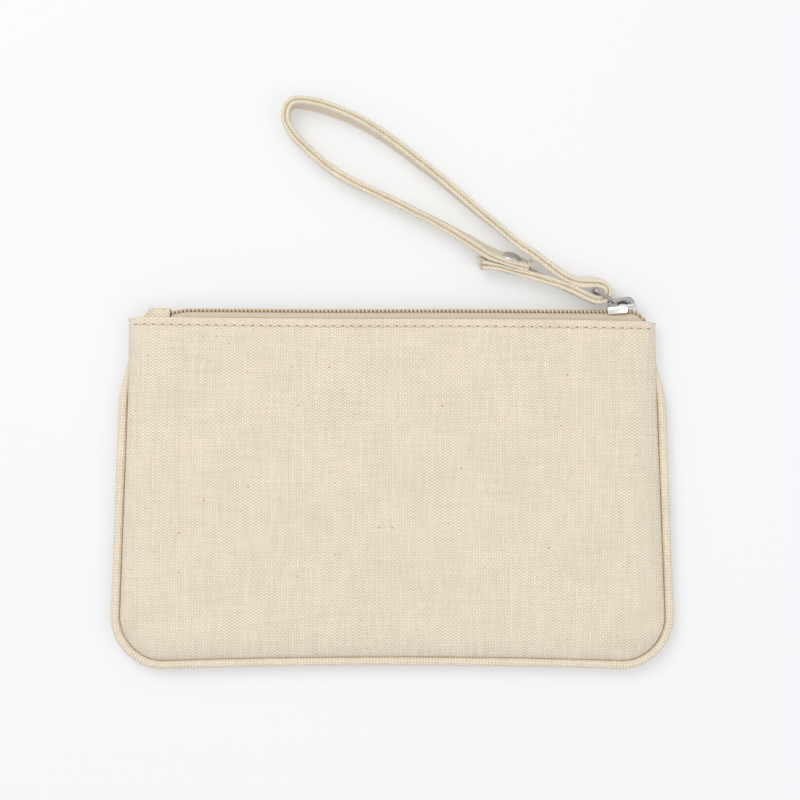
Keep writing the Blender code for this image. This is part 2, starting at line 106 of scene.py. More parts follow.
class Nodes:
    """Short names for building one material's node tree."""

    def __init__(self, name, roughness=0.9, metallic=0.0):
        self.material = bpy.data.materials.new(name)
        self.material.use_nodes = True
        self.tree = self.material.node_tree
        self.shader = self.tree.nodes["Principled BSDF"]
        self.coat("Roughness", roughness)
        self.coat("Metallic", metallic)

    def node(self, kind):
        return self.tree.nodes.new("ShaderNode" + kind)

    def put(self, socket, value):
        """Links a socket to a node's output, or sets it to a constant."""
        if isinstance(value, bpy.types.NodeSocket):
            self.tree.links.new(value, socket)
        else:
            socket.default_value = value

    def coat(self, name, value):
        """Links or sets one of the surface shader's own sockets."""
        self.put(self.shader.inputs[name], value)

    def maths(self, operation, first, second=0.0, third=0.0):
        made = self.node("Math")
        made.operation = operation
        for socket, value in zip(made.inputs, (first, second, third)):
            self.put(socket, value)
        return made.outputs[0]

    def plus(self, first, second):
        return self.maths("ADD", first, second)

    def minus(self, first, second):
        return self.maths("SUBTRACT", first, second)

    def times(self, first, second):
        return self.maths("MULTIPLY", first, second)

    def scaled(self, value, gain, base):
        return self.maths("MULTIPLY_ADD", value, gain, base)

    def noise(self, vector, scale, detail=2.0, roughness=0.5):
        made = self.node("TexNoise")
        self.put(made.inputs["Vector"], vector)
        made.inputs["Scale"].default_value = scale
        made.inputs["Detail"].default_value = detail
        made.inputs["Roughness"].default_value = roughness
        return made.outputs[0]

    def ramp(self, factor, stops):
        """A grey ramp; each stop is (place, grey)."""
        made = self.node("ValToRGB")
        for element, (place, grey) in zip(made.color_ramp.elements, stops):
            element.position = place
            element.color = (grey, grey, grey, 1)
        self.put(made.inputs[0], factor)
        return made.outputs[0]

    def mix(self, factor, first, second, blend="MIX"):
        made = self.node("Mix")
        made.data_type = "RGBA"
        made.blend_type = blend
        self.put(made.inputs[0], factor)
        for socket, value in ((made.inputs[6], first), (made.inputs[7], second)):
            self.put(socket, value if isinstance(value, bpy.types.NodeSocket) else (*value, 1))
        return made.outputs[2]

    def white(self, value, seed=0.0):
        """A random number for each whole number."""
        made = self.node("TexWhiteNoise")
        made.noise_dimensions = "1D"
        self.put(made.inputs["W"], self.plus(value, seed))
        return made.outputs[0]

    def cloth_place(self):
        """The cloth's own coordinates, in mm along its threads, as (x, y, vector)."""
        made = self.node("UVMap")
        made.uv_map = "cloth"
        split = self.node("SeparateXYZ")
        self.put(split.inputs[0], made.outputs[0])
        return split.outputs[0], split.outputs[1], made.outputs[0]

    def object_place(self):
        return self.node("TexCoord").outputs["Object"]

    def joined(self, x, y, z=0.0):
        made = self.node("CombineXYZ")
        for socket, value in zip(made.inputs, (x, y, z)):
            self.put(socket, value)
        return made.outputs[0]

    def streaks(self, x, y, z=0.0):
        """Noise over a place whose directions are stretched by different amounts."""
        return self.noise(self.joined(x, y, z), 1.0)

    def bump(self, height, distance, below=None):
        made = self.node("Bump")
        made.inputs["Distance"].default_value = distance
        made.inputs["Strength"].default_value = 1.0
        self.put(made.inputs["Height"], height)
        if below is not None:
            self.put(made.inputs["Normal"], below)
        return made.outputs[0]


def srgb(*display):
    """A linear colour from an 8-bit display colour."""
    return tuple(((c / 255 + 0.055) / 1.055) ** 2.4 if c > 10 else c / 255 / 12.92 for c in display)


THREAD_CROWN = 0.55           # the lower, the broader a thread's crown
THREAD_WANDER = 0.64          # how far threads stray from a straight line, in thread pitches
CANVAS_RELIEF = 0.14 * MM
CANVAS_SHADE = 0.735          # the level that the threads' own shades are added to
HUSK = srgb(142, 108, 66)
# painted shade in the needle holes
NEEDLE_HOLE_SHADE = srgb(112, 78, 40)


def canvas(name, light, gap, warp, weft, turn=0.0, stitch_row=None, speck=1.0):
    """Plain-woven natural canvas: crowned threads, slubs, seed flecks and, if asked, a row of needle holes;
    painted shade darkens the gaps between the threads and the holes.

    warp and weft are the threads' pitches in mm, and stitch_row is the holes' height and pitch in mm. light
    is the colour of the threads' crowns and gap the painted shade between them.
    """
    light, gap = srgb(*light), srgb(*gap)
    n = Nodes(name, roughness=0.92)
    n.coat("Sheen Weight", 0.12)
    n.coat("Sheen Roughness", 0.6)
    n.coat("Specular IOR Level", 0.25)
    across, along, place = n.cloth_place()
    cos_t, sin_t = math.cos(turn), math.sin(turn)
    x = n.minus(n.times(across, cos_t), n.times(along, sin_t))
    y = n.plus(n.times(across, sin_t), n.times(along, cos_t))
    bend_x = n.streaks(n.times(x, 0.35), n.times(y, 0.10))
    bend_y = n.streaks(n.times(x, 0.10), n.times(y, 0.45), 5.0)
    u = n.plus(n.maths("DIVIDE", x, warp), n.times(bend_x, THREAD_WANDER))
    v = n.plus(n.maths("DIVIDE", y, weft), n.times(bend_y, THREAD_WANDER))
    wave = n.times(n.maths("SINE", n.times(u, math.pi)), n.maths("SINE", n.times(v, math.pi)))
    crown = n.maths("POWER", n.maths("ABSOLUTE", wave), THREAD_CROWN)
    over = n.scaled(n.maths("SIGN", wave), 0.35, 0.65)
    # every crossing stands a little higher or lower than the next
    warp_count, weft_count = n.maths("FLOOR", u), n.maths("FLOOR", v)
    crossing = n.scaled(warp_count, 17.3, n.times(weft_count, 91.7))
    uneven = n.scaled(n.white(crossing, 5.0), 0.46, 0.74)
    fuzz = n.noise(place, 3.2, detail=4.0, roughness=0.7)
    height = n.scaled(fuzz, 0.30, n.times(n.times(crown, over), uneven))
    # each thread's own shade, and broad patches
    warp_shade = n.streaks(n.times(n.white(warp_count), 90.0), n.times(y, 0.07))
    weft_shade = n.streaks(n.times(n.white(weft_count, 37.0), 90.0), n.times(x, 0.06))
    patches = n.noise(place, 0.045, detail=3.0)
    shade = n.plus(n.times(warp_shade, 0.22), n.times(weft_shade, 0.18))
    shade = n.plus(n.plus(shade, n.times(patches, 0.12)), CANVAS_SHADE)
    # painted shade: where the threads dip the colour turns to gap, the painted shade between them; their
    # crowns keep the light colour
    base = n.mix(n.ramp(height, ((0.12, 0.0), (0.72, 1.0))), gap, light)
    tone = n.mix(1.0, base, n.joined(shade, shade, n.scaled(shade, 1.15, -0.15)), "MULTIPLY")
    # seed husks and dark fibres: short flecks in a few of the cells
    cells = n.node("TexVoronoi")
    n.put(cells.inputs["Vector"], n.joined(n.times(x, 0.40), n.times(y, 0.50)))
    cells.inputs["Scale"].default_value = 1.0
    picked = n.node("SeparateColor")
    n.put(picked.inputs[0], cells.outputs["Color"])
    size = n.times(n.maths("POWER", picked.outputs[0], 4.0), 0.17 * speck)
    ragged = n.scaled(fuzz, 0.10, cells.outputs["Distance"])
    inside = n.maths("LESS_THAN", ragged, n.plus(size, 0.045))
    seen = n.times(inside, n.maths("GREATER_THAN", picked.outputs[1], 0.20))
    faint = n.scaled(picked.outputs[2], 0.45, 0.25)
    tone = n.mix(n.times(seen, faint), tone, HUSK)
    if stitch_row is not None:
        row_y, pitch = stitch_row
        down = n.minus(along, row_y)
        step = n.maths("FRACT", n.maths("DIVIDE", n.scaled(down, 1.1, across), pitch))
        side = n.times(n.minus(step, 0.5), pitch / 1.15)
        reach = n.maths("SQRT", n.plus(n.times(n.times(side, side), 0.5), n.times(n.times(down, down), 5.0)))
        hole = n.ramp(n.maths("DIVIDE", reach, 1.1), ((0.28, 1.0), (0.62, 0.0)))
        # painted shade: the needle holes are darkened where they dip into the cloth
        tone = n.mix(n.times(hole, 0.80), tone, NEEDLE_HOLE_SHADE)
        height = n.minus(height, n.times(hole, 1.2))
    n.coat("Base Color", tone)
    n.coat("Normal", n.bump(height, CANVAS_RELIEF))
    return n.material


def thread(name, colour, dark, pitch=0.9):
    """Twisted sewing thread: slanted plies with painted shade between them, and a little fuzz; the twist's
    pitch is in mm.
    """
    colour, dark = srgb(*colour), srgb(*dark)
    n = Nodes(name, roughness=0.75)
    n.coat("Sheen Weight", 0.15)
    across, along, place = n.cloth_place()
    twist = n.maths("SINE", n.times(n.plus(n.maths("DIVIDE", across, pitch), along), math.tau))
    fuzz = n.noise(place, 6.0, detail=3.0)
    height = n.scaled(fuzz, 0.6, n.scaled(twist, 0.25, 0.3))
    # painted shade: the dark colour lies where the plies dip, the colour on their crowns
    n.coat("Base Color", n.mix(n.ramp(height, ((0.15, 0.0), (0.8, 1.0))), dark, colour))
    n.coat("Normal", n.bump(height, 0.05 * MM))
    return n.material


def tape_material():
    """Woven zipper tape: fine lengthwise ribs with a herringbone, and painted shade between the ribs."""
    n = Nodes("zip_tape_weave", roughness=0.85)
    n.coat("Sheen Weight", 0.2)
    across, along, place = n.cloth_place()
    rib = n.maths("ABSOLUTE", n.minus(n.maths("FRACT", along), 0.5))
    slant = n.times(rib, 1.6)
    fine = n.maths("SINE", n.times(n.plus(n.maths("DIVIDE", across, 0.42), slant), math.tau))
    height = n.plus(n.plus(n.times(fine, 0.35), rib), n.times(n.noise(place, 4.0, 3.0), 0.5))
    # painted shade: the darker colour lies where the ribs dip, the lighter on their crowns
    base = n.mix(n.ramp(height, ((0.0, 0.0), (0.9, 1.0))), srgb(194, 177, 154), srgb(228, 213, 193))
    n.coat("Base Color", n.mix(n.times(n.noise(place, 0.08), 0.35), base, srgb(210, 195, 174)))
    n.coat("Normal", n.bump(height, 0.08 * MM))
    return n.material


def coil_material():
    """Dyed nylon monofilament: slightly clear, with rubbed crowns."""
    n = Nodes("zip_coil_nylon")
    n.coat("Subsurface Weight", 0.12)
    n.coat("Subsurface Scale", 0.6 * MM)
    place = n.object_place()
    wear = n.noise(place, 2400.0)
    n.coat("Base Color", n.mix(n.noise(place, 420.0), srgb(206, 189, 163), srgb(229, 215, 194)))
    n.coat("Roughness", n.scaled(wear, 0.25, 0.32))
    n.coat("Normal", n.bump(wear, 0.02 * MM))
    return n.material


def metal(name, colour, rough, brush=0.0, dents=0.02):
    """Plated metal with soft casting ripples, dents mm deep, and fine handling scratches."""
    n = Nodes(name, metallic=1.0)
    place = n.object_place()
    ripple = n.noise(place, 260.0)
    scratch_place = n.node("Mapping")
    n.put(scratch_place.inputs["Vector"], place)
    scratch_place.inputs["Scale"].default_value = (900.0, 5200.0, 2600.0)
    scratches = n.noise(scratch_place.outputs[0], 1.0, detail=4.0, roughness=0.7)
    smudge = n.noise(place, 520.0, detail=3.0)
    smudged = tuple(0.86 * channel for channel in colour)
    n.coat("Base Color", n.mix(n.times(smudge, 0.5), colour, smudged))
    wear = n.scaled(scratches, 0.10 + brush, rough - 0.05)
    n.coat("Roughness", n.scaled(smudge, 0.12, wear))
    n.coat("Normal", n.bump(ripple, dents * MM, below=n.bump(scratches, 0.004 * MM)))
    return n.material


# ---------------- mesh making


def unit(vectors):
    """The same directions, each of length 1."""
    return vectors / np.linalg.norm(vectors, axis=1)[:, None]


def along_of(points):
    """Unit directions along a polyline."""
    return unit(np.gradient(points, axis=0))


def around_of(points):
    """The step past each point of a closed loop."""
    return np.roll(points, -1, axis=0) - np.roll(points, 1, axis=0)


def run_of(points):
    """How far along a polyline each of its points lies."""
    return np.concatenate(([0], np.cumsum(np.linalg.norm(np.diff(points, axis=0), axis=1))))


def circle(count):
    """Cosines and sines of evenly spaced angles."""
    angles = np.arange(count) / count * math.tau
    return np.cos(angles), np.sin(angles)


def cloth_grid(along, around):
    """The cloth's own coordinates for every place along with every place across."""
    return np.stack(np.meshgrid(along, around, indexing="ij"), axis=-1)


def add_object(name, data, place=(0, 0, 0)):
    made = bpy.data.objects.new(name, data)
    made.location = place
    bpy.context.scene.collection.objects.link(made)
    return made


class Skin:
    """Faces gathered into one mesh, with the cloth's own coordinates in mm at every corner."""

    def __init__(self):
        self.points, self.faces, self.corners = [], [], []
        self.count = 0

    def loft(self, rings, uvs=None, closed_ring=False, closed_path=False, caps=False):
        """Adds the surface through rings of points; uvs has one more ring or column where it closes.

        Metal has no weave, so it gives none.
        """
        count, around = rings.shape[:2]
        if uvs is None:
            uvs = np.zeros((count + 1, around + 1, 2))
        base = self.count
        rows = count if closed_path else count - 1
        steps = around if closed_ring else around - 1
        low, side = np.meshgrid(np.arange(rows), np.arange(steps), indexing="ij")
        here, after, right = low * around, (low + 1) % count * around, (side + 1) % around
        faces = base + np.stack((here + side, here + right, after + right, after + side), axis=-1)
        self.faces.extend(faces.reshape(-1, 4).tolist())
        picked = np.stack((uvs[low, side], uvs[low, side + 1],
                           uvs[low + 1, side + 1], uvs[low + 1, side]), axis=2)
        self.corners.append(picked.reshape(-1, 2))
        if caps:
            order = np.arange(around)
            self.faces += [(base + order[::-1]).tolist(), (base + (count - 1) * around + order).tolist()]
            self.corners += [uvs[0, order[::-1]], uvs[count - 1, order]]
        self.points.append(rings.reshape(-1, 3))
        self.count += count * around
        return self

    def tube(self, path, radius, sides=8, flat=1.0):
        """Adds a round or flattened tube along a path; the radius may vary along it."""
        along = along_of(path)
        side = np.cross(along, UP)
        side[np.linalg.norm(side, axis=1) < 1e-6] = (1.0, 0.0, 0.0)
        side = unit(side)
        top = np.cross(side, along)
        cos, sin = circle(sides)
        radii = np.broadcast_to(np.asarray(radius, dtype=float), (len(path),))
        ring = radii[:, None, None] * (cos[:, None] * side[:, None] + flat * sin[:, None] * top[:, None])
        run = run_of(path) / MM
        around = np.arange(sides + 1) / sides * math.tau * radii.mean() / MM
        return self.loft(path[:, None] + ring, cloth_grid(run, around), closed_ring=True, caps=True)

    def finish(self, name, coat, solid=True):
        """Turns what was gathered into an object; a solid's faces are turned outwards."""
        mesh = bpy.data.meshes.new(name)
        mesh.from_pydata(np.vstack(self.points).tolist(), [], self.faces)
        layer = mesh.uv_layers.new(name="cloth")
        layer.data.foreach_set("uv", np.vstack(self.corners).astype(np.float32).ravel())
        if solid:
            bm = bmesh.new()
            bm.from_mesh(mesh)
            bmesh.ops.recalc_face_normals(bm, faces=bm.faces)
            bm.to_mesh(mesh)
            bm.free()
        mesh.shade_smooth()
        mesh.materials.append(coat)
        return add_object(name, mesh)


def picked_at(places, run, points):
    """Points at given distances along a polyline."""
    return np.column_stack([np.interp(places, run, column) for column in points.T])


def resample(points, spacing, places=3):
    """Evenly spaced rows along a smooth curve through the given ones, and how far along it each lies.

    Only the first columns are places; the others are carried along.
    """
    points = np.asarray(points, dtype=float)
    padded = np.vstack((2 * points[0] - points[1], points, 2 * points[-1] - points[-2]))
    dense = []
    for before, start, end, after in zip(padded, padded[1:], padded[2:], padded[3:]):
        for t in np.linspace(0, 1, 24, endpoint=False):
            dense.append(0.5 * (2 * start + (end - before) * t
                                + (2 * before - 5 * start + 4 * end - after) * t ** 2
                                + (3 * start - before - 3 * end + after) * t ** 3))
    dense.append(points[-1])
    dense = np.array(dense)
    run = run_of(dense[:, :places])
    stops = np.linspace(0, run[-1], max(2, int(round(run[-1] / spacing)) + 1))
    return picked_at(stops, run, dense), stops


def axis_rows(low, high, step):
    return np.linspace(low, high, int(round((high - low) / step)) + 1)


def smooth_step(value, low, high):
    t = np.clip((value - low) / (high - low), 0, 1)
    return t * t * (3 - 2 * t)


def waves(x, y, scale, seed):
    """Soft bumps from a few sine waves in random directions, between about -1 and 1."""
    source = np.random.default_rng(seed)
    total = 0
    for _ in range(6):
        angle, phase = source.uniform(0, math.tau, 2)
        length = scale * source.uniform(0.7, 1.6)
        total = total + np.sin((x * math.cos(angle) + y * math.sin(angle)) / length * math.tau + phase)
    return total / 3.5


def weave_height(u, v, warp, weft):
    """Height of plain-woven threads, from 0 in the gaps to 1 on a crown; all in mm."""
    wave = np.sin(np.pi * u / warp) * np.sin(np.pi * v / weft)
    return np.abs(wave) ** THREAD_CROWN * (0.66 + 0.34 * np.sign(wave))


def placed(piece, body, slot, *nodes):
    """Rides a finished piece on its body, in place of the CAD nodes named."""
    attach(piece, body)
    if nodes:
        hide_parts(*nodes)
    return piece


def add_cloth(name, coat, grid, uvs, thickness, offset=-1.0, flip=False):
    """A sheet of cloth through a grid of points, with its thickness."""
    piece = Skin().loft(grid, uvs).finish(name, coat, solid=False)
    if flip:
        piece.data.flip_normals()
    solid = piece.modifiers.new("thickness", "SOLIDIFY")
    solid.thickness = thickness
    solid.offset = offset
    bpy.context.view_layer.update()
    depsgraph = bpy.context.evaluated_depsgraph_get()
    mesh = bpy.data.meshes.new_from_object(piece.evaluated_get(depsgraph))
    piece.modifiers.clear()
    piece.data = mesh
    mesh.name = piece.name
    return piece


# ---------------- the pouch's own outline


def side_half(y):
    """Half the panel's width at a height y on its straight side."""
    return CORNER_HALF + (HEM_HALF - CORNER_HALF) * (y - CORNER_Y) / (HEM_Y - CORNER_Y)


def outline_half(y, radius=CORNER_R):
    """Half a panel's width at any height, round bottom corners included; a smaller radius gives one inset."""
    deep = np.clip(CORNER_Y - y, 0, radius)
    return side_half(np.maximum(y, CORNER_Y)) - CORNER_R + np.sqrt(radius ** 2 - deep ** 2)


def outline_heights(radius, corner_steps, top, step):
    """Heights from the bottom of the round corners up to the top."""
    corner = CORNER_Y - radius * np.cos(np.linspace(0, math.pi / 2, corner_steps))
    return np.concatenate((corner, axis_rows(CORNER_Y, top, step)[1:]))


def quarter_round(share):
    """Rises from 0 to 1 along a quarter of a circle."""
    return np.sqrt(np.clip(1 - (1 - share) ** 2, 0, 1))


def rim_distance(x, y):
    """How far a point lies inside the panel's sewn edge."""
    qx = np.abs(x) - (side_half(np.maximum(y, CORNER_Y)) - CORNER_R)
    qy = CORNER_Y - y
    inner = np.maximum(qx, qy)
    corner = np.hypot(np.maximum(qx, 0), np.maximum(qy, 0))
    return CORNER_R - np.where((qx > 0) | (qy > 0), corner, inner)


def settle(points):
    """The real cloth's small departures from a straight outline: a raised bottom and a tilted hem."""
    moved = np.array(points, dtype=float)
    x, y = moved[..., 0], moved[..., 1]
    low = smooth_step(-y, 10 * MM, 66 * MM)
    high = smooth_step(y, 10 * MM, 66 * MM)
    bow = BOTTOM_BOW * np.clip(1 - (x / (96 * MM)) ** 2, 0, 1)
    sway = 0.25 * MM * np.sin(x / (31 * MM)) * high
    moved[..., 1] = y + low * bow + high * (HEM_RISE - HEM_TILT * x / HEM_HALF) + sway
    return moved


def panel_height(x, y, side):
    """Height of a panel's outer face: flat in the middle, rounded to the seam, open at the hem."""
    rise = quarter_round(np.clip(rim_distance(x, y) / RIM_WIDTH, 0, 1))
    flat = FRONT_Z if side > 0 else 0.0
    hem = MIDDLE_Z + side * HEM_OFF
    to_hem = np.clip(1 - (HEM_Y - y) / RIM_WIDTH, 0, 1)
    level = flat + (hem - flat) * to_hem
    rim = SEAM_Z + side * (RIM_LIFT - RIM_CLOSE * smooth_step(y, 40 * MM, 52 * MM))
    return rim + (level - rim) * rise


# ---------------- colours

PANEL_CLOTH = canvas("canvas_panel", (243, 233, 215), (208, 192, 165), PANEL_WARP, PANEL_WEFT,
                     stitch_row=(STITCH_Y / MM, STITCH_PITCH / MM))
PIPING_CLOTH = canvas("canvas_piping", (243, 234, 217), (212, 195, 166), PIPING_WARP, PIPING_WEFT,
                      turn=math.radians(45), speck=0.7)
STRAP_CLOTH = canvas("canvas_strap", (245, 238, 223), (208, 192, 160), STRAP_WARP, STRAP_WEFT, speck=0.7)
TAB_CLOTH = canvas("canvas_end_tab", (241, 231, 213), (208, 190, 160), 0.95, 0.70, speck=0.7)
LINING_CLOTH = canvas("cotton_lining", (226, 214, 192), (170, 150, 120), 0.62, 0.55, speck=0.4)
CORE_CORD = thread("cotton_filler_cord", (236, 228, 212), (190, 176, 152), pitch=2.4)
SEAM_THREAD = thread("seam_thread", (216, 190, 150), (182, 150, 108))
TOP_THREAD = thread("topstitch_thread", (241, 228, 204), (206, 182, 146))
STRAP_THREAD = thread("strap_thread", (216, 194, 156), (176, 148, 108))
FRAY = thread("frayed_yarn", (244, 235, 220), (206, 188, 160))
TAPE_CLOTH = tape_material()
COIL_NYLON = coil_material()
COIL_CORE = thread("coil_core_thread", (182, 160, 128), (138, 114, 82))
NICKEL = metal("nickel_cast", (0.86, 0.85, 0.83), 0.22)
# painted shade: the arch is the casting's own nickel, painted darker for the dark reflections on it
ARCH_NICKEL_SHADED = metal("nickel_arch_shaded", (0.54, 0.53, 0.51), 0.12, dents=0.005)
# painted shade: near-black metal for the strip in the arch's opening
ARCH_OPENING_SHADE = metal("arch_opening_shade_dark", (0.10, 0.095, 0.09), 0.32, brush=0.05)
RING_NICKEL = metal("nickel_wire", (0.52, 0.505, 0.48), 0.12, dents=0.004)
RIVET_METAL = metal("rivet_plate", (0.76, 0.75, 0.73), 0.32, brush=0.08)


# ---------------- pouch


def spread_columns(count):
    """Fractions of the half width from -1 to 1, closer together towards the seam."""
    even = np.linspace(-1, 1, count)
    return np.sin(even * math.pi / 2) * 0.55 + even * 0.45


def add_panel(name, side):
    """One panel with its hem: the outer face, the fold over the mouth, and the turned-in ply."""
    fold_r = (HEM_OFF - HEM_FOLD_OFF) / 2
    face_rows = outline_heights(CORNER_R, 20, HEM_Y - fold_r, 1.3 * MM)
    columns = spread_columns(190)
    x = columns * outline_half(face_rows)[:, None]
    y = np.broadcast_to(face_rows[:, None], x.shape)
    z = panel_height(x, y, side)
    inner = np.clip(rim_distance(x, y) / (6 * MM), 0, 1)
    swell = 0.30 * waves(x / MM, y / MM, 74, 3 if side > 0 else 4) - 0.25
    ripple = 0.10 * waves(x / MM, y / MM, 9, 11 if side > 0 else 12)
    row = np.exp(-((y - STITCH_Y) / (1.3 * MM)) ** 2)
    pinch = 0.16 * row * np.cos(x / STITCH_PITCH * math.tau) + 0.16 * row
    z = z + side * MM * (inner * (swell + ripple) - inner * pinch)
    if side < 0:
        z = np.maximum(z, 0.02 * MM)
    face = np.stack((x, y, z), axis=-1)
    # the fold and the turned-in ply follow the hem row
    past = np.clip(rim_distance(x[-1], y[-1]) / RIM_WIDTH, 0, 1)
    gap = 2 * fold_r * np.minimum(1, past * 2.2 + 0.3)
    edge_z = z[-1]
    rows = []
    for turn in np.linspace(0, math.pi, 9)[1:]:
        height = np.full_like(gap, HEM_Y - fold_r + fold_r * math.sin(turn))
        rows.append(np.column_stack((x[-1], height, edge_z - side * gap / 2 * (1 - math.cos(turn)))))
    for deep in axis_rows(0, HEM_DEPTH, 1.1 * MM)[1:]:
        narrow = 1 - 0.12 * smooth_step(deep, 0, 3 * MM)
        height = np.full_like(gap, HEM_Y - fold_r - deep)
        rows.append(np.column_stack((x[-1] * narrow, height, edge_z - side * gap)))
    grid = np.concatenate((face, np.stack(rows)), axis=0)
    # the mouth's corners drop and its edge is a little wider than the outline
    corner = smooth_step(np.abs(grid[..., 0]), HEM_HALF - 5.5 * MM, HEM_HALF) ** 2
    high = smooth_step(grid[..., 1], HEM_Y - 9 * MM, HEM_Y)
    grid[..., 1] -= HEM_CORNER_DROP * corner * high
    grid[..., 0] *= 1 + 0.004 * smooth_step(grid[..., 1], HEM_Y - 30 * MM, HEM_Y)
    grid = settle(grid)
    # the cloth's own height is straight on the face, and follows the fold behind it
    middle = grid[:, grid.shape[1] // 2]
    run = run_of(middle)
    run += HEM_Y - fold_r - run[len(face_rows) - 1]
    straight = np.where(np.arange(len(grid)) < len(face_rows), middle[:, 1], run)
    uvs = np.stack((grid[..., 0], np.broadcast_to(straight[:, None], grid.shape[:2])), axis=-1) / MM
    uvs[:len(face_rows), :, 1] = y / MM
    return add_cloth(name, PANEL_CLOTH, grid, uvs, PANEL_PLY, flip=side < 0)


def add_lining(name, side):
    """A lining hangs free inside, a little smaller than its panel."""
    radius = CORNER_R - LINING_INSET
    rows = outline_heights(radius, 10, HEM_Y - LINING_INSET, 3 * MM)
    half = outline_half(rows, radius)
    x = np.linspace(-1, 1, 90) * half[:, None]
    y = np.broadcast_to(rows[:, None], x.shape)
    rise = quarter_round(np.clip((rim_distance(x, y) - LINING_INSET) / RIM_WIDTH, 0, 1))
    rim = SEAM_Z + side * 0.42 * MM
    z = rim + (MIDDLE_Z + side * 2.5 * MM - rim) * rise
    z = z + side * 0.18 * MM * rise * waves(x / MM, y / MM, 30, 21 if side > 0 else 22) * (y < 50 * MM)
    grid = settle(np.stack((x, y, z), axis=-1))
    return add_cloth(name, LINING_CLOTH, grid, grid[..., :2] / MM, LINING_PLY, flip=side < 0)


def seam_route(offset, top_y):
    """Points along the sewn edge, from the top of the left side round the bottom to the right."""
    left = [(-side_half(y) - offset, y) for y in axis_rows(CORNER_Y, top_y, 2 * MM)[::-1]]
    centre = side_half(CORNER_Y) - CORNER_R
    angles = np.linspace(0, math.pi / 2, 16)[1:]
    radius = CORNER_R + offset
    arc = [(-centre - radius * math.cos(a), CORNER_Y - radius * math.sin(a)) for a in angles]
    half = left + arc
    across = [(x, CORNER_Y - radius) for x in axis_rows(-centre, centre, 3 * MM)[1:-1]]
    right = [(-x, y) for x, y in reversed(half)]
    return np.array(half + across + right)


def seam_path(offset, top_y, spacing, taper, pull):
    """Evenly spaced points along the sewn edge, drawn in by pull at both ends.

    Returns them with how far along they lie and a share that grows from 0 at the ends to 1 past the taper.
    """
    flat, run = resample(seam_route(offset, top_y), spacing)
    grow = smooth_step(np.minimum(run, run[-1] - run), 0, taper)
    flat[:, 0] -= np.where(flat[:, 0] < 0, -1.0, 1.0) * (1 - grow) * pull
    return flat, run, grow


def add_piping():
    """A bias-cut sleeve round a cord, which comes out of the side seams under the hem."""
    flat, run, grow = seam_path(1.75 * MM, 57 * MM, 0.5 * MM, 22 * MM, 2.6 * MM)
    path = settle(np.column_stack((flat, np.full(len(flat), SEAM_Z))))
    radii = PIPING_R * (0.42 + 0.58 * grow)
    sides = 26
    side = unit(np.cross(along_of(path), UP))
    cos, sin = circle(sides)
    around = np.arange(sides + 1) / sides * math.tau * PIPING_R / MM
    s, t = run[:, None] / MM, around[:-1]
    bias_u, bias_v = (s - t) * math.sqrt(0.5), (s + t) * math.sqrt(0.5)
    bead = (weave_height(bias_u, bias_v, PIPING_WARP, PIPING_WEFT) - 0.5) * 0.11 * MM
    lump = 0.07 * MM * np.sin(s / 5.1) * np.sin(s / 3.3 + 1)
    reach = radii[:, None] + (bead + lump) * grow[:, None]
    rings = path[:, None] + reach[..., None] * (cos[:, None] * side[:, None] + sin[:, None] * UP)
    skin = Skin().loft(rings, cloth_grid(run / MM, around), closed_ring=True, caps=True)
    placed(skin.finish("piping_sleeve", PIPING_CLOTH), "pouch", "canvas", "piping_cover")
    core = Skin().tube(path[8:-8:2], radii[8:-8:2] * 0.5, sides=10).finish("piping_filler_cord", CORE_CORD)
    placed(core, "pouch", "filler", "piping_cord")


def stitch_paths(points, run, pitch, gap, dip, lift):
    """One thread over each stitch of a row: it rises from a hole, lies along, and goes down the next."""
    share = np.linspace(-1, 1, 7)[:, None]
    for index in range(int(run[-1] / pitch)):
        places = np.linspace(index * pitch + gap, (index + 1) * pitch - gap, len(share))
        yield picked_at(places, run, points) - lift * dip * share ** 4


def add_seam_threads():
    for side, name in SIDES:
        flat, run, grow = seam_path(0.12 * MM, 48 * MM, 1 * MM, 12 * MM, 0.25 * MM)
        path = settle(np.column_stack((flat, SEAM_Z + side * (0.45 + 0.52 * grow) * MM)))
        skin = Skin()
        for line in stitch_paths(path, run, 2.4 * MM, 0.12 * MM, 0.35 * MM, UP * side):
            skin.tube(line, SEAM_THREAD_R, sides=6)
        made = skin.finish(f"seam_stitches_{name}", SEAM_THREAD)
        placed(made, "pouch", "thread", f"seam_thread_{name}")


def add_topstitches():
    share = np.linspace(-1, 1, 8)
    for side, name in SIDES:
        skin = Skin()
        for index in range(-STITCH_COUNT // 2, STITCH_COUNT // 2):
            x = (index + 0.5 + np.linspace(0.16, 0.84, len(share))) * STITCH_PITCH
            y = STITCH_Y + 0.10 * MM * share + RANDOM.normal(0, 0.04) * MM
            z = panel_height(x, y, side) - side * STITCH_DIP * share ** 4
            skin.tube(settle(np.column_stack((x, y, z))), TOP_THREAD_R)
        made = skin.finish(f"hem_topstitch_{name}", TOP_THREAD)
        placed(made, "pouch", "thread", f"topstitch_{name}")


# ---------------- zipper

COIL_PITCH = 1.62 * MM
COIL_RADIUS = 0.39 * MM
COIL_LEFT, COIL_RIGHT = TAPE_LOW[0] - 1.5 * MM, 101.8 * MM
COIL_Y = (COIL_LOW[1] + COIL_HIGH[1]) / 2
COIL_OFF = (COIL_LOW[2] + COIL_HIGH[2]) / 2 - MIDDLE_Z + 0.4 * MM
COIL_CLOSED_OFF = 1.08 * MM
# the tape from its sewn edge up to the chain: height, and distance from the pouch's middle, in mm
TAPE_SECTION = ((58.3, 3.2), (62, 3.2), (66, 3.2), (69, 3.25), (70.6, 3.25), (71.6, 3.0), (72.3, 2.5),
                (72.62, 1.9), (72.66, 1.2), (72.62, 0.75))
TAB_SEWN_Y = 68.2 * MM
TAB_STITCH_X = -91.5 * MM
TAB_LEAN = 3.0 * MM


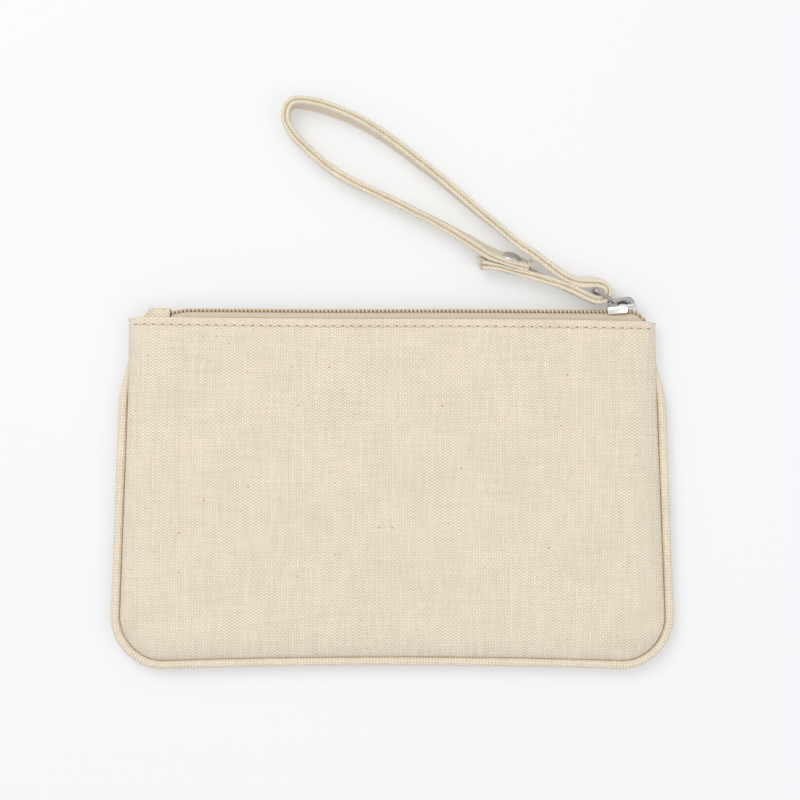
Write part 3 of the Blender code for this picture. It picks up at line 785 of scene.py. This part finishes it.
def chain_lift(x):
    """How far the chain rises or drops from straight: low at its left end, turned down at its right."""
    start = -1.1 * MM * (1 - smooth_step(x, COIL_LEFT, -81 * MM))
    end = -0.115 / MM * np.maximum(x - 95.5 * MM, 0) ** 2
    tilt = -0.22 * MM * np.clip(x / (88 * MM), -1, 1)
    return start + end + tilt + 0.08 * MM * np.sin(x / (17 * MM))


def coil_off(x):
    """How far a coil's middle lies from the pouch's: the rows mesh, and part past the slider."""
    return COIL_CLOSED_OFF + (COIL_OFF - COIL_CLOSED_OFF) * smooth_step(x, 93 * MM, 97 * MM)


def add_tapes():
    section, run = resample(np.array(TAPE_SECTION) * MM, 0.45 * MM)
    x = axis_rows(TAPE_LOW[0], COIL_RIGHT - 0.5 * MM, 1.2 * MM)[:, None]
    share = smooth_step(section[:, 0], 66 * MM, 72 * MM)
    y = section[:, 0] + share * chain_lift(x)
    wave = 0.10 * MM * np.sin(x / (6.5 * MM)) * share
    for side, name in SIDES:
        grid = np.stack((np.broadcast_to(x, y.shape), y, MIDDLE_Z + side * (section[:, 1] + wave)), axis=-1)
        made = add_cloth(f"tape_cloth_{name}", TAPE_CLOTH, grid, cloth_grid(x[:, 0], run) / MM,
                         TAPE_PLY, 0, flip=side > 0)
        placed(made, "pouch", "tape", f"zip_tape_{name}")


def add_coils():
    """The two rows of a coil zipper, each a bent wire round a core of thread."""
    turns = int((COIL_RIGHT - COIL_LEFT) / COIL_PITCH)
    angle = np.arange(turns * 16 + 1) / 16 * math.tau
    for side, name in SIDES:
        start = COIL_LEFT + (0.0 if side > 0 else COIL_PITCH / 2)
        x = start + angle / math.tau * COIL_PITCH + 0.075 * COIL_PITCH * np.sin(2 * angle)
        y = COIL_Y + chain_lift(x) + 0.50 * MM * np.cos(angle)
        z = MIDDLE_Z + side * (coil_off(x) + 1.0 * MM * np.sin(angle))
        wire = Skin().tube(np.column_stack((x, y, z)), COIL_RADIUS).finish(f"coil_wire_{name}", COIL_NYLON)
        placed(wire, "pouch", "coil", f"zip_coil_{name}")
        x = axis_rows(COIL_LEFT + 1 * MM, COIL_RIGHT, 1.0 * MM)
        middle = np.column_stack((x, COIL_Y + chain_lift(x), MIDDLE_Z + side * coil_off(x)))
        core = Skin().tube(middle, 0.42 * MM).finish(f"coil_core_{name}", COIL_CORE)
        placed(core, "pouch", "coil")


def add_end_tab():
    """A folded scrap of canvas over the chain's left end: an upside-down U, pinched at its left."""
    left, right = TAB_LOW[0] - 1 * MM, TAB_HIGH[0]
    half = TAB_HIGH[2] - MIDDLE_Z - 0.1 * MM
    top = TAB_HIGH[1]
    angles = np.linspace(-math.pi / 2, math.pi / 2, 23)
    off = half * np.sign(angles) * np.abs(np.sin(angles)) ** 0.62
    height = np.abs(np.cos(angles)) ** 0.55
    x = axis_rows(left, right, 0.35 * MM)[:, None]
    share = (x - left) / (right - left)
    round_off = 0.55 * MM * (1 - quarter_round(np.minimum(np.minimum(share, 1 - share) / 0.07, 1)))
    groove = 0.22 * MM * np.exp(-((x - TAB_STITCH_X + 0.1 * MM) / (0.4 * MM)) ** 2)
    y = TAB_SEWN_Y + (top - round_off - groove - TAB_SEWN_Y) * height
    lean = -TAB_LEAN * (1 - share) * np.clip((top - 0.5 * MM - y) / (4 * MM), 0, 1)
    pinch = 0.16 + 0.84 * smooth_step(share, 0, 0.8)
    z = MIDDLE_Z + off * pinch * (1 - 0.25 * round_off / MM)
    grid = np.stack((x + lean, y, z), axis=-1)
    made = add_cloth("end_tab_fold", TAB_CLOTH, grid, cloth_grid(x[:, 0], run_of(grid[12])) / MM, TAB_PLY)
    placed(made, "pouch", "canvas", "zip_end_tab")
    skin = Skin()
    share = np.linspace(-1, 1, 7)
    for index in (-1, 0, 1):
        z = MIDDLE_Z + 0.85 * MM * share + index * 2.1 * MM
        y = top - 0.12 * MM - 0.35 * MM * share ** 4 - 0.10 * MM * index ** 2
        skin.tube(np.column_stack((np.full(7, TAB_STITCH_X), y, z)), 0.2 * MM, sides=6)
    placed(skin.finish("end_tab_stitches", TOP_THREAD), "pouch", "thread", "zip_end_tab_stitch")


# ---------------- slider and ring

SLIDER_TILT = math.radians(6.5)
SLIDER_CENTRE = np.array((91.5, 74.5)) * MM
CROWN_WIDEST_X = 93.5 * MM
# the arch's middle line, its half thickness and its half width; and the middle line of a near-black strip
# under the arch, painted shade in its opening, in mm
ARCH = ((87.55, 75.5, 0.50, 1.5), (87.2, 76.5, 0.50, 1.5), (87.6, 77.4, 0.52, 1.5),
        (89.0, 78.0, 0.60, 1.55), (91.4, 78.1, 0.72, 1.6), (93.9, 78.05, 0.90, 1.65),
        (95.5, 77.75, 1.05, 1.7), (96.3, 76.8, 1.12, 1.75), (96.45, 75.9, 1.15, 1.75), (96.5, 75.0, 1.2, 1.8))
ARCH_OPENING_SHADE_LINE = ((90.5, 76.35), (91.8, 76.75), (93.4, 76.7), (94.9, 76.1))
RING_PIVOT, RING_FAR = np.array((89.6, 76.8)) * MM, np.array((80.7, 81.8)) * MM
RING_HALF = 5.8 * MM
RING_BEND = 1.7 * MM
RING_WIRE = 0.66 * MM


def tilted(points):
    """The slider rides a little nose-up on its chain."""
    moved = np.array(points, dtype=float)
    cos, sin = math.cos(SLIDER_TILT), math.sin(SLIDER_TILT)
    x, y = moved[..., 0] - SLIDER_CENTRE[0], moved[..., 1] - SLIDER_CENTRE[1]
    moved[..., 0] = SLIDER_CENTRE[0] + x * cos - y * sin
    moved[..., 1] = SLIDER_CENTRE[1] + x * sin + y * cos
    return moved


def cast_plate(skin, outline, axis, low, high, soft):
    """A plate with softened edges, from low to high along axis: its outline pulled in at both faces."""
    centre = (outline.max(axis=0) + outline.min(axis=0)) / 2
    reach = np.abs(outline - centre).max(axis=0)
    steps = ((low, 1.0), (low + 0.25 * soft, 0.55), (low + 0.6 * soft, 0.2), (low + soft, 0.0),
             (high - soft, 0.0), (high - 0.6 * soft, 0.2), (high - 0.25 * soft, 0.55), (high, 1.0))
    rings = np.array([np.insert(centre + (outline - centre) * (1 - pull * soft / reach), axis, place, axis=1)
                      for place, pull in steps])
    skin.loft(tilted(rings), closed_ring=True, caps=True)


def rounded_outline(points, radius, steps=5):
    """A polygon with rounded corners."""
    points = np.asarray(points, dtype=float)
    made = []
    for index, corner in enumerate(points):
        before, after = points[index - 1] - corner, points[(index + 1) % len(points)] - corner
        cut = min(radius, np.linalg.norm(before) / 2.2, np.linalg.norm(after) / 2.2)
        start = corner + before / np.linalg.norm(before) * cut
        end = corner + after / np.linalg.norm(after) * cut
        for t in np.linspace(0, 1, steps):
            made.append((1 - t) ** 2 * start + 2 * t * (1 - t) * corner + t ** 2 * end)
    return np.array(made)


def add_slider():
    """The crown above the chain, its two side flanges, the sole below it, the arch, and a near-black strip as
    painted shade in the arch's opening.
    """
    skin = Skin()
    half = (SLIDER_HIGH[2] - SLIDER_LOW[2]) / 2
    tail, nose = SLIDER_LOW[0], SLIDER_HIGH[0]
    low, top = SLIDER_LOW[1], SLIDER_HIGH[1]

    def plate(outline, bend, axis, start, end, soft):
        cast_plate(skin, rounded_outline(outline, bend), axis, start, end, soft)

    def mirrored(outline):
        """A closed outline from its half that lies under the pouch's middle."""
        return ([(x, MIDDLE_Z - off) for x, off in outline]
                + [(x, MIDDLE_Z + off) for x, off in reversed(outline) if off > 0])

    crown = ((tail, 3.3 * MM), (CROWN_WIDEST_X, half), (nose - 0.4 * MM, 3.2 * MM), (nose, 0.0))
    plate(mirrored(crown), 1.6 * MM, 1, top - 0.95 * MM, top, 0.28 * MM)
    flange = [(tail + 0.1 * MM, top - 0.3 * MM), (tail + 0.1 * MM, 72.55 * MM), (94.0 * MM, 72.25 * MM),
              (94.6 * MM, top - 0.3 * MM)]
    plate(flange, 0.6 * MM, 2, MIDDLE_Z + half - 1.0 * MM, MIDDLE_Z + half, 0.24 * MM)
    plate(flange, 0.6 * MM, 2, MIDDLE_Z - half, MIDDLE_Z - half + 1.0 * MM, 0.24 * MM)
    sole = ((tail + 1 * MM, 1.7 * MM), (nose - 2 * MM, 2.0 * MM), (nose - 1 * MM, 0.0))
    plate(mirrored(sole), 0.8 * MM, 1, low, low + 1.0 * MM, 0.25 * MM)
    placed(sharpened(skin.finish("slider_casting", NICKEL)), "slider", "nickel", "slider_body")

    arch, _ = resample(np.array(ARCH) * MM, 0.35 * MM, places=2)
    path = np.column_stack((arch[:, :2], np.full(len(arch), MIDDLE_Z)))
    along = along_of(path)
    inward = np.column_stack((-along[:, 1], along[:, 0], np.zeros(len(arch))))
    across, upward = (np.sign(wave) * np.abs(wave) ** 0.55 for wave in circle(28))
    rings = (path[:, None] + across[:, None] * (inward * arch[:, 2:3])[:, None]
             + (upward * arch[:, 3:4])[..., None] * UP)
    skin = Skin().loft(tilted(rings), closed_ring=True, caps=True)
    placed(skin.finish("slider_arch", ARCH_NICKEL_SHADED), "slider", "nickel", "slider_bridge")
    # painted shade: a near-black flattened strip fills the arch's opening, where the slider lies in shade
    opening_shade, _ = resample(np.array(ARCH_OPENING_SHADE_LINE) * MM, 0.3 * MM, places=2)
    opening_shade = tilted(np.column_stack((opening_shade, np.full(len(opening_shade), MIDDLE_Z))))
    skin = Skin().tube(opening_shade, 0.46 * MM, sides=12, flat=1.9)
    placed(skin.finish("slider_arch_opening_shade", ARCH_OPENING_SHADE), "slider", "nickel")


def sharpened(piece):
    """Keeps a casting's faces flat and its softened edges smooth."""
    piece.data.set_sharp_from_angle(angle=math.radians(50))
    return piece


def add_ring():
    """A wire loop bent to a rounded rectangle."""
    reach = RING_FAR - RING_PIVOT
    length = np.linalg.norm(reach)
    direction = reach / length
    bends = [(0, -RING_HALF), (length, -RING_HALF), (length, RING_HALF), (0, RING_HALF)]
    outline = rounded_outline(bends, RING_BEND, steps=9)
    flat, _ = resample(np.vstack((outline, outline[:1])), 0.4 * MM)
    flat = flat[:-1]
    path = np.column_stack((RING_PIVOT + flat[:, :1] * direction, MIDDLE_Z + flat[:, 1]))
    normal = np.array((-direction[1], direction[0], 0.0))
    side = np.cross(unit(around_of(path)), normal)
    cos, sin = circle(16)
    rings = path[:, None] + RING_WIRE * (cos[:, None] * side[:, None] + 1.05 * sin[:, None] * normal)
    skin = Skin().loft(rings, closed_ring=True, closed_path=True)
    placed(skin.finish("puller_wire_ring", RING_NICKEL), "puller", "nickel", "puller_ring")


# ---------------- wrist strap

# Where the groove between the band's turned edges runs, from its cut tail round the ring's bar and the far
# turn to its folded end: x, y, how far the band leans to its right in degrees, and its thickness as a share
# where that isn't 1.
STRAP_GROOVE_RUN = (
    (36.2, 91.5, 22, 1.05), (39.1, 91.3, 23, 0.92), (43.1, 90.6, 23, 0.80), (47.1, 89.5, 23, 0.72),
    (51.1, 88.5, 21, 0.78), (55.1, 87.5, 15, 0.94), (59.1, 86.5, 9), (63.1, 85.4, 4), (67.1, 84.2, 1),
    (71.1, 82.7, 0), (75.1, 80.8, 0), (79.0, 78.9, 0), (81.9, 78.0, 0), (84.4, 78.3, -1),
    (86.0, 79.8, -3, 0.96), (86.3, 81.7, -5, 0.96), (85.0, 83.5, -7, 1.05), (82.6, 84.3, -8, 1.14),
    (79.1, 84.5, -8, 1.2), (75.3, 84.6, -8, 1.12), (71.3, 85.9, -8), (67.1, 88.2, -9), (63.1, 91.2, -9),
    (59.1, 94.3, -8), (55.1, 97.2, -7), (51.1, 99.9, -5), (47.1, 103.1, -3), (43.1, 106.6, -2),
    (35.1, 113.3, 0), (27.1, 120.3, 2), (19.1, 127.2, 4), (11.1, 133.7, 6), (3.1, 140.0, 7),
    (-4.9, 145.7, 9), (-12.9, 150.6, 11), (-20.9, 154.3, 12), (-28.9, 157.0, 13), (-35.0, 158.2, 12),
    (-39.5, 157.9, 8), (-42.0, 155.8, 4), (-42.9, 152.4, 1), (-42.3, 148.7, 0), (-38.9, 143.4, 0),
    (-34.9, 139.4, 0), (-30.9, 135.6, 0), (-24.9, 130.7, 0), (-16.9, 125.8, 1), (-8.9, 121.8, 3),
    (-0.9, 118.0, 6), (7.1, 113.9, 7), (15.1, 109.9, 8), (23.1, 105.4, 11), (31.1, 100.3, 15),
    (35.1, 97.6, 18), (39.1, 95.1, 21, 0.95), (43.1, 93.5, 23, 0.80), (47.1, 92.1, 24, 0.72),
    (51.1, 91.0, 22, 0.78), (54.6, 90.2, 18, 0.92))
# how high the band's middle lies over the table: (share of its length, mm)
STRAP_LIE = ((0.0, 5.4), (0.05, 5.5), (0.12, 6.2), (0.16, 6.5), (0.22, 6.5), (0.30, 5.8), (0.40, 5.1),
             (0.84, 4.95), (0.90, 5.5), (0.94, 6.3), (1.0, 6.5))
STRAP_HALF = 1.72 * MM
STRAP_REACH = 4.75 * MM
FRAY_COUNT = 120
TACK_TURNS = 26


def strap_section():
    """The folded band's outline: two turned edges with the stitched groove between them, one fold below."""
    half, reach = STRAP_HALF / MM, STRAP_REACH / MM
    right = [(0.0, reach - 0.95), (0.16, reach - 0.72), (0.30, reach - 0.34), (0.52, reach - 0.08),
             (0.88, reach), (1.28, reach - 0.06), (1.60, reach - 0.30), (half, reach - 0.80),
             (half, reach - 1.6), (half, reach - 2.6), (half - 0.10, reach - 3.8), (half - 0.16, 0.0),
             (half - 0.10, -1.4), (half - 0.12, -2.6), (half - 0.24, -3.5), (half - 0.6, -4.25),
             (half - 1.2, -4.65), (0.0, -reach)]
    left = [(-n, w) for n, w in right[-2:0:-1]]
    return np.array(right + left) * MM


def strap_frame():
    """The band's middle line, its directions, how far along it each step lies, and its thickness there."""
    rows = np.array([(*row, 1.0)[:4] for row in STRAP_GROOVE_RUN])
    groove, run = resample(rows * (MM, MM, 1, 1), 0.36 * MM, places=2)
    kernel = np.hanning(17) / np.hanning(17).sum()

    def smooth(values):
        return np.convolve(np.pad(values, 8, mode="edge"), kernel, mode="valid")

    lean = np.radians(smooth(groove[:, 2]))
    lie = np.array(STRAP_LIE)
    height = smooth(np.interp(run / run[-1], lie[:, 0], lie[:, 1]) * MM)
    along = along_of(np.column_stack((groove[:, :2], np.zeros(len(groove)))))
    left = np.column_stack((-along[:, 1], along[:, 0], np.zeros(len(groove))))
    across = np.cos(lean)[:, None] * left + np.sin(lean)[:, None] * UP
    upward = np.cos(lean)[:, None] * UP - np.sin(lean)[:, None] * left
    path = np.column_stack((groove[:, :2] + left[:, :2] * (np.sin(lean) * STRAP_REACH)[:, None], height))
    return path, along, across, upward, run, smooth(groove[:, 3])


def add_strap():
    """The folded band, the thread in its groove, its frayed ends and the tack that shuts its eye."""
    path, along, across, upward, run, squeeze = strap_frame()
    section, around = resample(np.vstack((strap_section(), strap_section()[:1])), 0.40 * MM)
    section = section[:-1]
    outward = unit(around_of(section)[:, ::-1] * (1, -1))
    if (outward * section).sum() < 0:
        outward = -outward
    # threads stand up most along the two turned edges
    s, t = run[:, None] / MM, around[:-1] / MM
    wander = 0.25 * np.sin(s / 7.3) + 0.2 * np.sin(s / 3.1 + 2)
    bead = (weave_height(s + wander, t + 0.15, STRAP_WARP, STRAP_WEFT * 1.6) - 0.45) * 0.24 * MM
    crest = smooth_step(section[:, 1], STRAP_REACH - 2.2 * MM, STRAP_REACH - 0.6 * MM)
    swell = bead * (0.35 + 0.65 * crest) + 0.10 * MM * waves(s, t, 8.0, 31)
    n, w = (section[:, axis] + outward[:, axis] * swell for axis in (0, 1))
    # the cut end opens into its two plies, and the folded end closes round
    open_end = smooth_step(3.5 * MM - run, 0, 3.5 * MM)[:, None]
    close_end = smooth_step(run, run[-1] - 1.6 * MM, run[-1])[:, None]
    valley = np.exp(-(section[:, 0] / (0.35 * MM)) ** 2) * (section[:, 1] > 0)
    n = n * squeeze[:, None] * (1 + 0.10 * open_end) * (1 - 0.22 * close_end)
    w = (w - 2.0 * MM * valley * open_end) * (1 - 0.04 * close_end)
    drop = np.zeros_like(n)
    drop[:3] = 0.35 * MM * waves(np.full_like(t, 3), t, 2.0, 33) * np.array(((1.0,), (0.6,), (0.3,)))
    rings = (path[:, None] + n[..., None] * across[:, None] + w[..., None] * upward[:, None]
             + drop[..., None] * along[:, None])
    skin = Skin().loft(rings, cloth_grid(run, around) / MM, closed_ring=True, caps=True)
    placed(skin.finish("wrist_strap_band", STRAP_CLOTH), "strap", "canvas",
           "strap_inner_ply", "strap_outer_ply")
    # edge stitching in the groove
    level = path + upward * (STRAP_REACH - 0.68 * MM)
    skin = Skin()
    for line in stitch_paths(level[8:-8], run[8:-8] - run[8], 3.0 * MM, 0.10 * MM, 0.30 * MM, UP):
        skin.tube(line, STRAP_THREAD_R, sides=6)
    placed(skin.finish("strap_edge_stitches", STRAP_THREAD), "strap", "thread", "strap_edge_stitch")
    add_fray(path, along, across, upward)
    add_bar_tack()
    return path, across, run


def add_fray(path, along, across, upward):
    """Loose yarn ends at the strap's cut end and round its folded end."""
    skin = Skin()
    for index, direction, longest, spread in ((0, -1, 1.9, 1.265), (-1, 1, 1.3, 1.1)):
        for _ in range(FRAY_COUNT):
            lobe = RANDOM.choice((-1, 1)) * RANDOM.uniform(0.35, 1.0) * STRAP_HALF * spread
            level = RANDOM.uniform(-0.9, 1.0) * STRAP_REACH * 0.92
            root = path[index] + across[index] * lobe + upward[index] * level
            length = RANDOM.uniform(0.5, longest) * MM
            side = RANDOM.normal(0, 0.35, 3)
            steps = np.linspace(-0.5, 1, 6)[:, None]
            line = root + steps * length * direction * along[index] + (steps.clip(0) ** 2) * length * side
            skin.tube(line, np.linspace(0.16, 0.06, 6) * MM, sides=5)
    placed(skin.finish("strap_frayed_yarns", FRAY), "strap", "canvas")


def add_bar_tack():
    """Close turns of thread that hold the strap's eye shut."""
    low, high = (np.array(corner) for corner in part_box("strap_bar_tack"))
    centre = (low + high) / 2
    angle = np.arange(TACK_TURNS * 10) / 10 * math.tau
    height = np.linspace(low[2] + 0.3 * MM, high[2] - 0.3 * MM, len(angle))
    path = np.column_stack((centre[0] + 0.34 * MM * np.cos(angle), centre[1] + 0.30 * MM * np.sin(angle),
                            height))
    made = Skin().tube(path, 0.15 * MM, sides=6).finish("strap_eye_tack", STRAP_THREAD)
    placed(made, "strap", "thread", "strap_bar_tack")


# where the rivet sits on the strap's folded end; then its cap's and socket's profiles: radius, height in mm
RIVET_AT = np.array((47.6, 94.0)) * MM
RIVET_CAP = ((0.0, 1.18), (0.8, 1.16), (1.7, 1.08), (2.5, 0.93), (3.1, 0.74), (3.55, 0.52), (3.9, 0.24),
             (4.08, 0.02), (4.1, -0.16), (3.98, -0.32), (3.7, -0.36), (3.3, -0.22), (1.4, -0.2), (0.0, -0.2))
RIVET_SOCKET = ((2.0, -0.2), (1.9, -2.4), (0.0, -2.4))
RIVET_REAR_GAP = 2.75 * MM


def add_rivet(path, across, run):
    """The two halves of a double-cap rivet, square to the rolled strap."""
    late = run > run[-1] * 0.9
    index = np.flatnonzero(late)[np.argmin(np.linalg.norm(path[late][:, :2] - RIVET_AT, axis=1))]
    centre, axis = path[index], across[index]
    side = np.cross(axis, UP)
    side /= np.linalg.norm(side)
    top = np.cross(side, axis)
    cos, sin = circle(48)
    spokes = cos[:, None] * side + sin[:, None] * top
    face = 0.72 * STRAP_HALF + 0.35 * MM
    rear_cap = np.vstack((np.array(RIVET_CAP[:-3]) * (0.98, 1.0), RIVET_SOCKET))
    for name, node, profile, base, sign in (
            ("rivet_face_cap", "rivet_cap", np.array(RIVET_CAP), face, 1),
            ("rivet_rear_cap", "rivet_base", rear_cap, RIVET_REAR_GAP + face, -1)):
        rings = np.array([centre + axis * sign * (base + height) + max(radius, 0.01 * MM) * spokes
                          for radius, height in profile * MM])
        skin = Skin().loft(rings, closed_ring=True, caps=True)
        placed(sharpened(skin.finish(name, RIVET_METAL)), "strap", "rivet", node)


# ---------------- stage

LENS, SENSOR = 95.0, 36.0
VIEW_WIDTH = 320 * MM
VIEW_CENTRE = (3.1 * MM, 37.8 * MM, 10 * MM)
PAPER_TONE = 0.62
# name, place, size and power
LAMPS = (("key", (-0.55, 0.75, 1.25), 0.9, 8.0), ("fill", (0.9, -0.5, 1.3), 1.2, 3.5))
LAMP_TARGET = Vector((0, 0.04, 0))


def add_camera():
    """A camera straight above the pouch, as in the photo."""
    data = bpy.data.cameras.new("camera")
    data.lens = LENS
    data.sensor_width = SENSOR
    x, y, z = VIEW_CENTRE
    bpy.context.scene.camera = add_object("camera", data, (x, y, z + VIEW_WIDTH * LENS / SENSOR))


def add_floor():
    """White paper on a light table, which keeps the shadows faint."""
    bm = bmesh.new()
    bmesh.ops.create_grid(bm, x_segments=8, y_segments=8, size=3.0)
    mesh = bpy.data.meshes.new("floor")
    bm.to_mesh(mesh)
    bm.free()
    paper = Nodes("studio_paper", roughness=0.95)
    tone = paper.scaled(paper.noise(paper.object_place(), 900.0), 0.008, PAPER_TONE)
    paper.coat("Base Color", paper.joined(paper.times(tone, 0.99), tone, paper.times(tone, 1.02)))
    paper.coat("Specular IOR Level", 0.1)
    paper.coat("Emission Color", (0.985, 0.995, 1.0, 1))
    paper.coat("Emission Strength", 0.27)
    mesh.materials.append(paper.material)
    add_object("floor", mesh)


def add_light():
    """A bright ceiling with dimmer walls, and two soft lamps."""
    scene = bpy.context.scene
    world = scene.world or bpy.data.worlds.new("studio")
    scene.world = world
    world.use_nodes = True
    sky = world.node_tree
    background = sky.nodes["Background"]
    background.inputs["Strength"].default_value = 0.80
    place = sky.nodes.new("ShaderNodeTexCoord")
    split = sky.nodes.new("ShaderNodeSeparateXYZ")
    walls = sky.nodes.new("ShaderNodeValToRGB")
    stops = ((0.12, (0.60, 0.60, 0.61, 1)), (0.55, (1, 1, 1, 1)))
    for element, (position, colour) in zip(walls.color_ramp.elements, stops):
        element.position = position
        element.color = colour
    sky.links.new(place.outputs["Generated"], split.inputs[0])
    sky.links.new(split.outputs["Z"], walls.inputs[0])
    sky.links.new(walls.outputs[0], background.inputs["Color"])
    for name, place, size, power in LAMPS:
        light = bpy.data.lights.new(name, "AREA")
        light.shape = "SQUARE"
        light.size = size
        light.energy = power
        lamp = add_object(name, light, place)
        lamp.rotation_euler = (LAMP_TARGET - Vector(place)).to_track_quat("-Z", "Y").to_euler()


# ---------------- the whole scene

bpy.context.scene.view_settings.view_transform = "Standard"
add_camera()
add_floor()
add_light()
front = placed(add_panel("front_cloth", 1), "pouch", "canvas", "front_panel", "hem_fold_front")
back = placed(add_panel("back_cloth", -1), "pouch", "canvas", "back_panel", "hem_fold_back")
front_lining = placed(add_lining("front_lining_cloth", 1), "pouch", "lining", "front_lining")
back_lining = placed(add_lining("back_lining_cloth", -1), "pouch", "lining", "back_lining")
add_piping()
add_seam_threads()
add_topstitches()
add_tapes()
add_coils()
add_end_tab()
add_slider()
add_ring()
strap_path, strap_across, strap_run = add_strap()
add_rivet(strap_path, strap_across, strap_run)
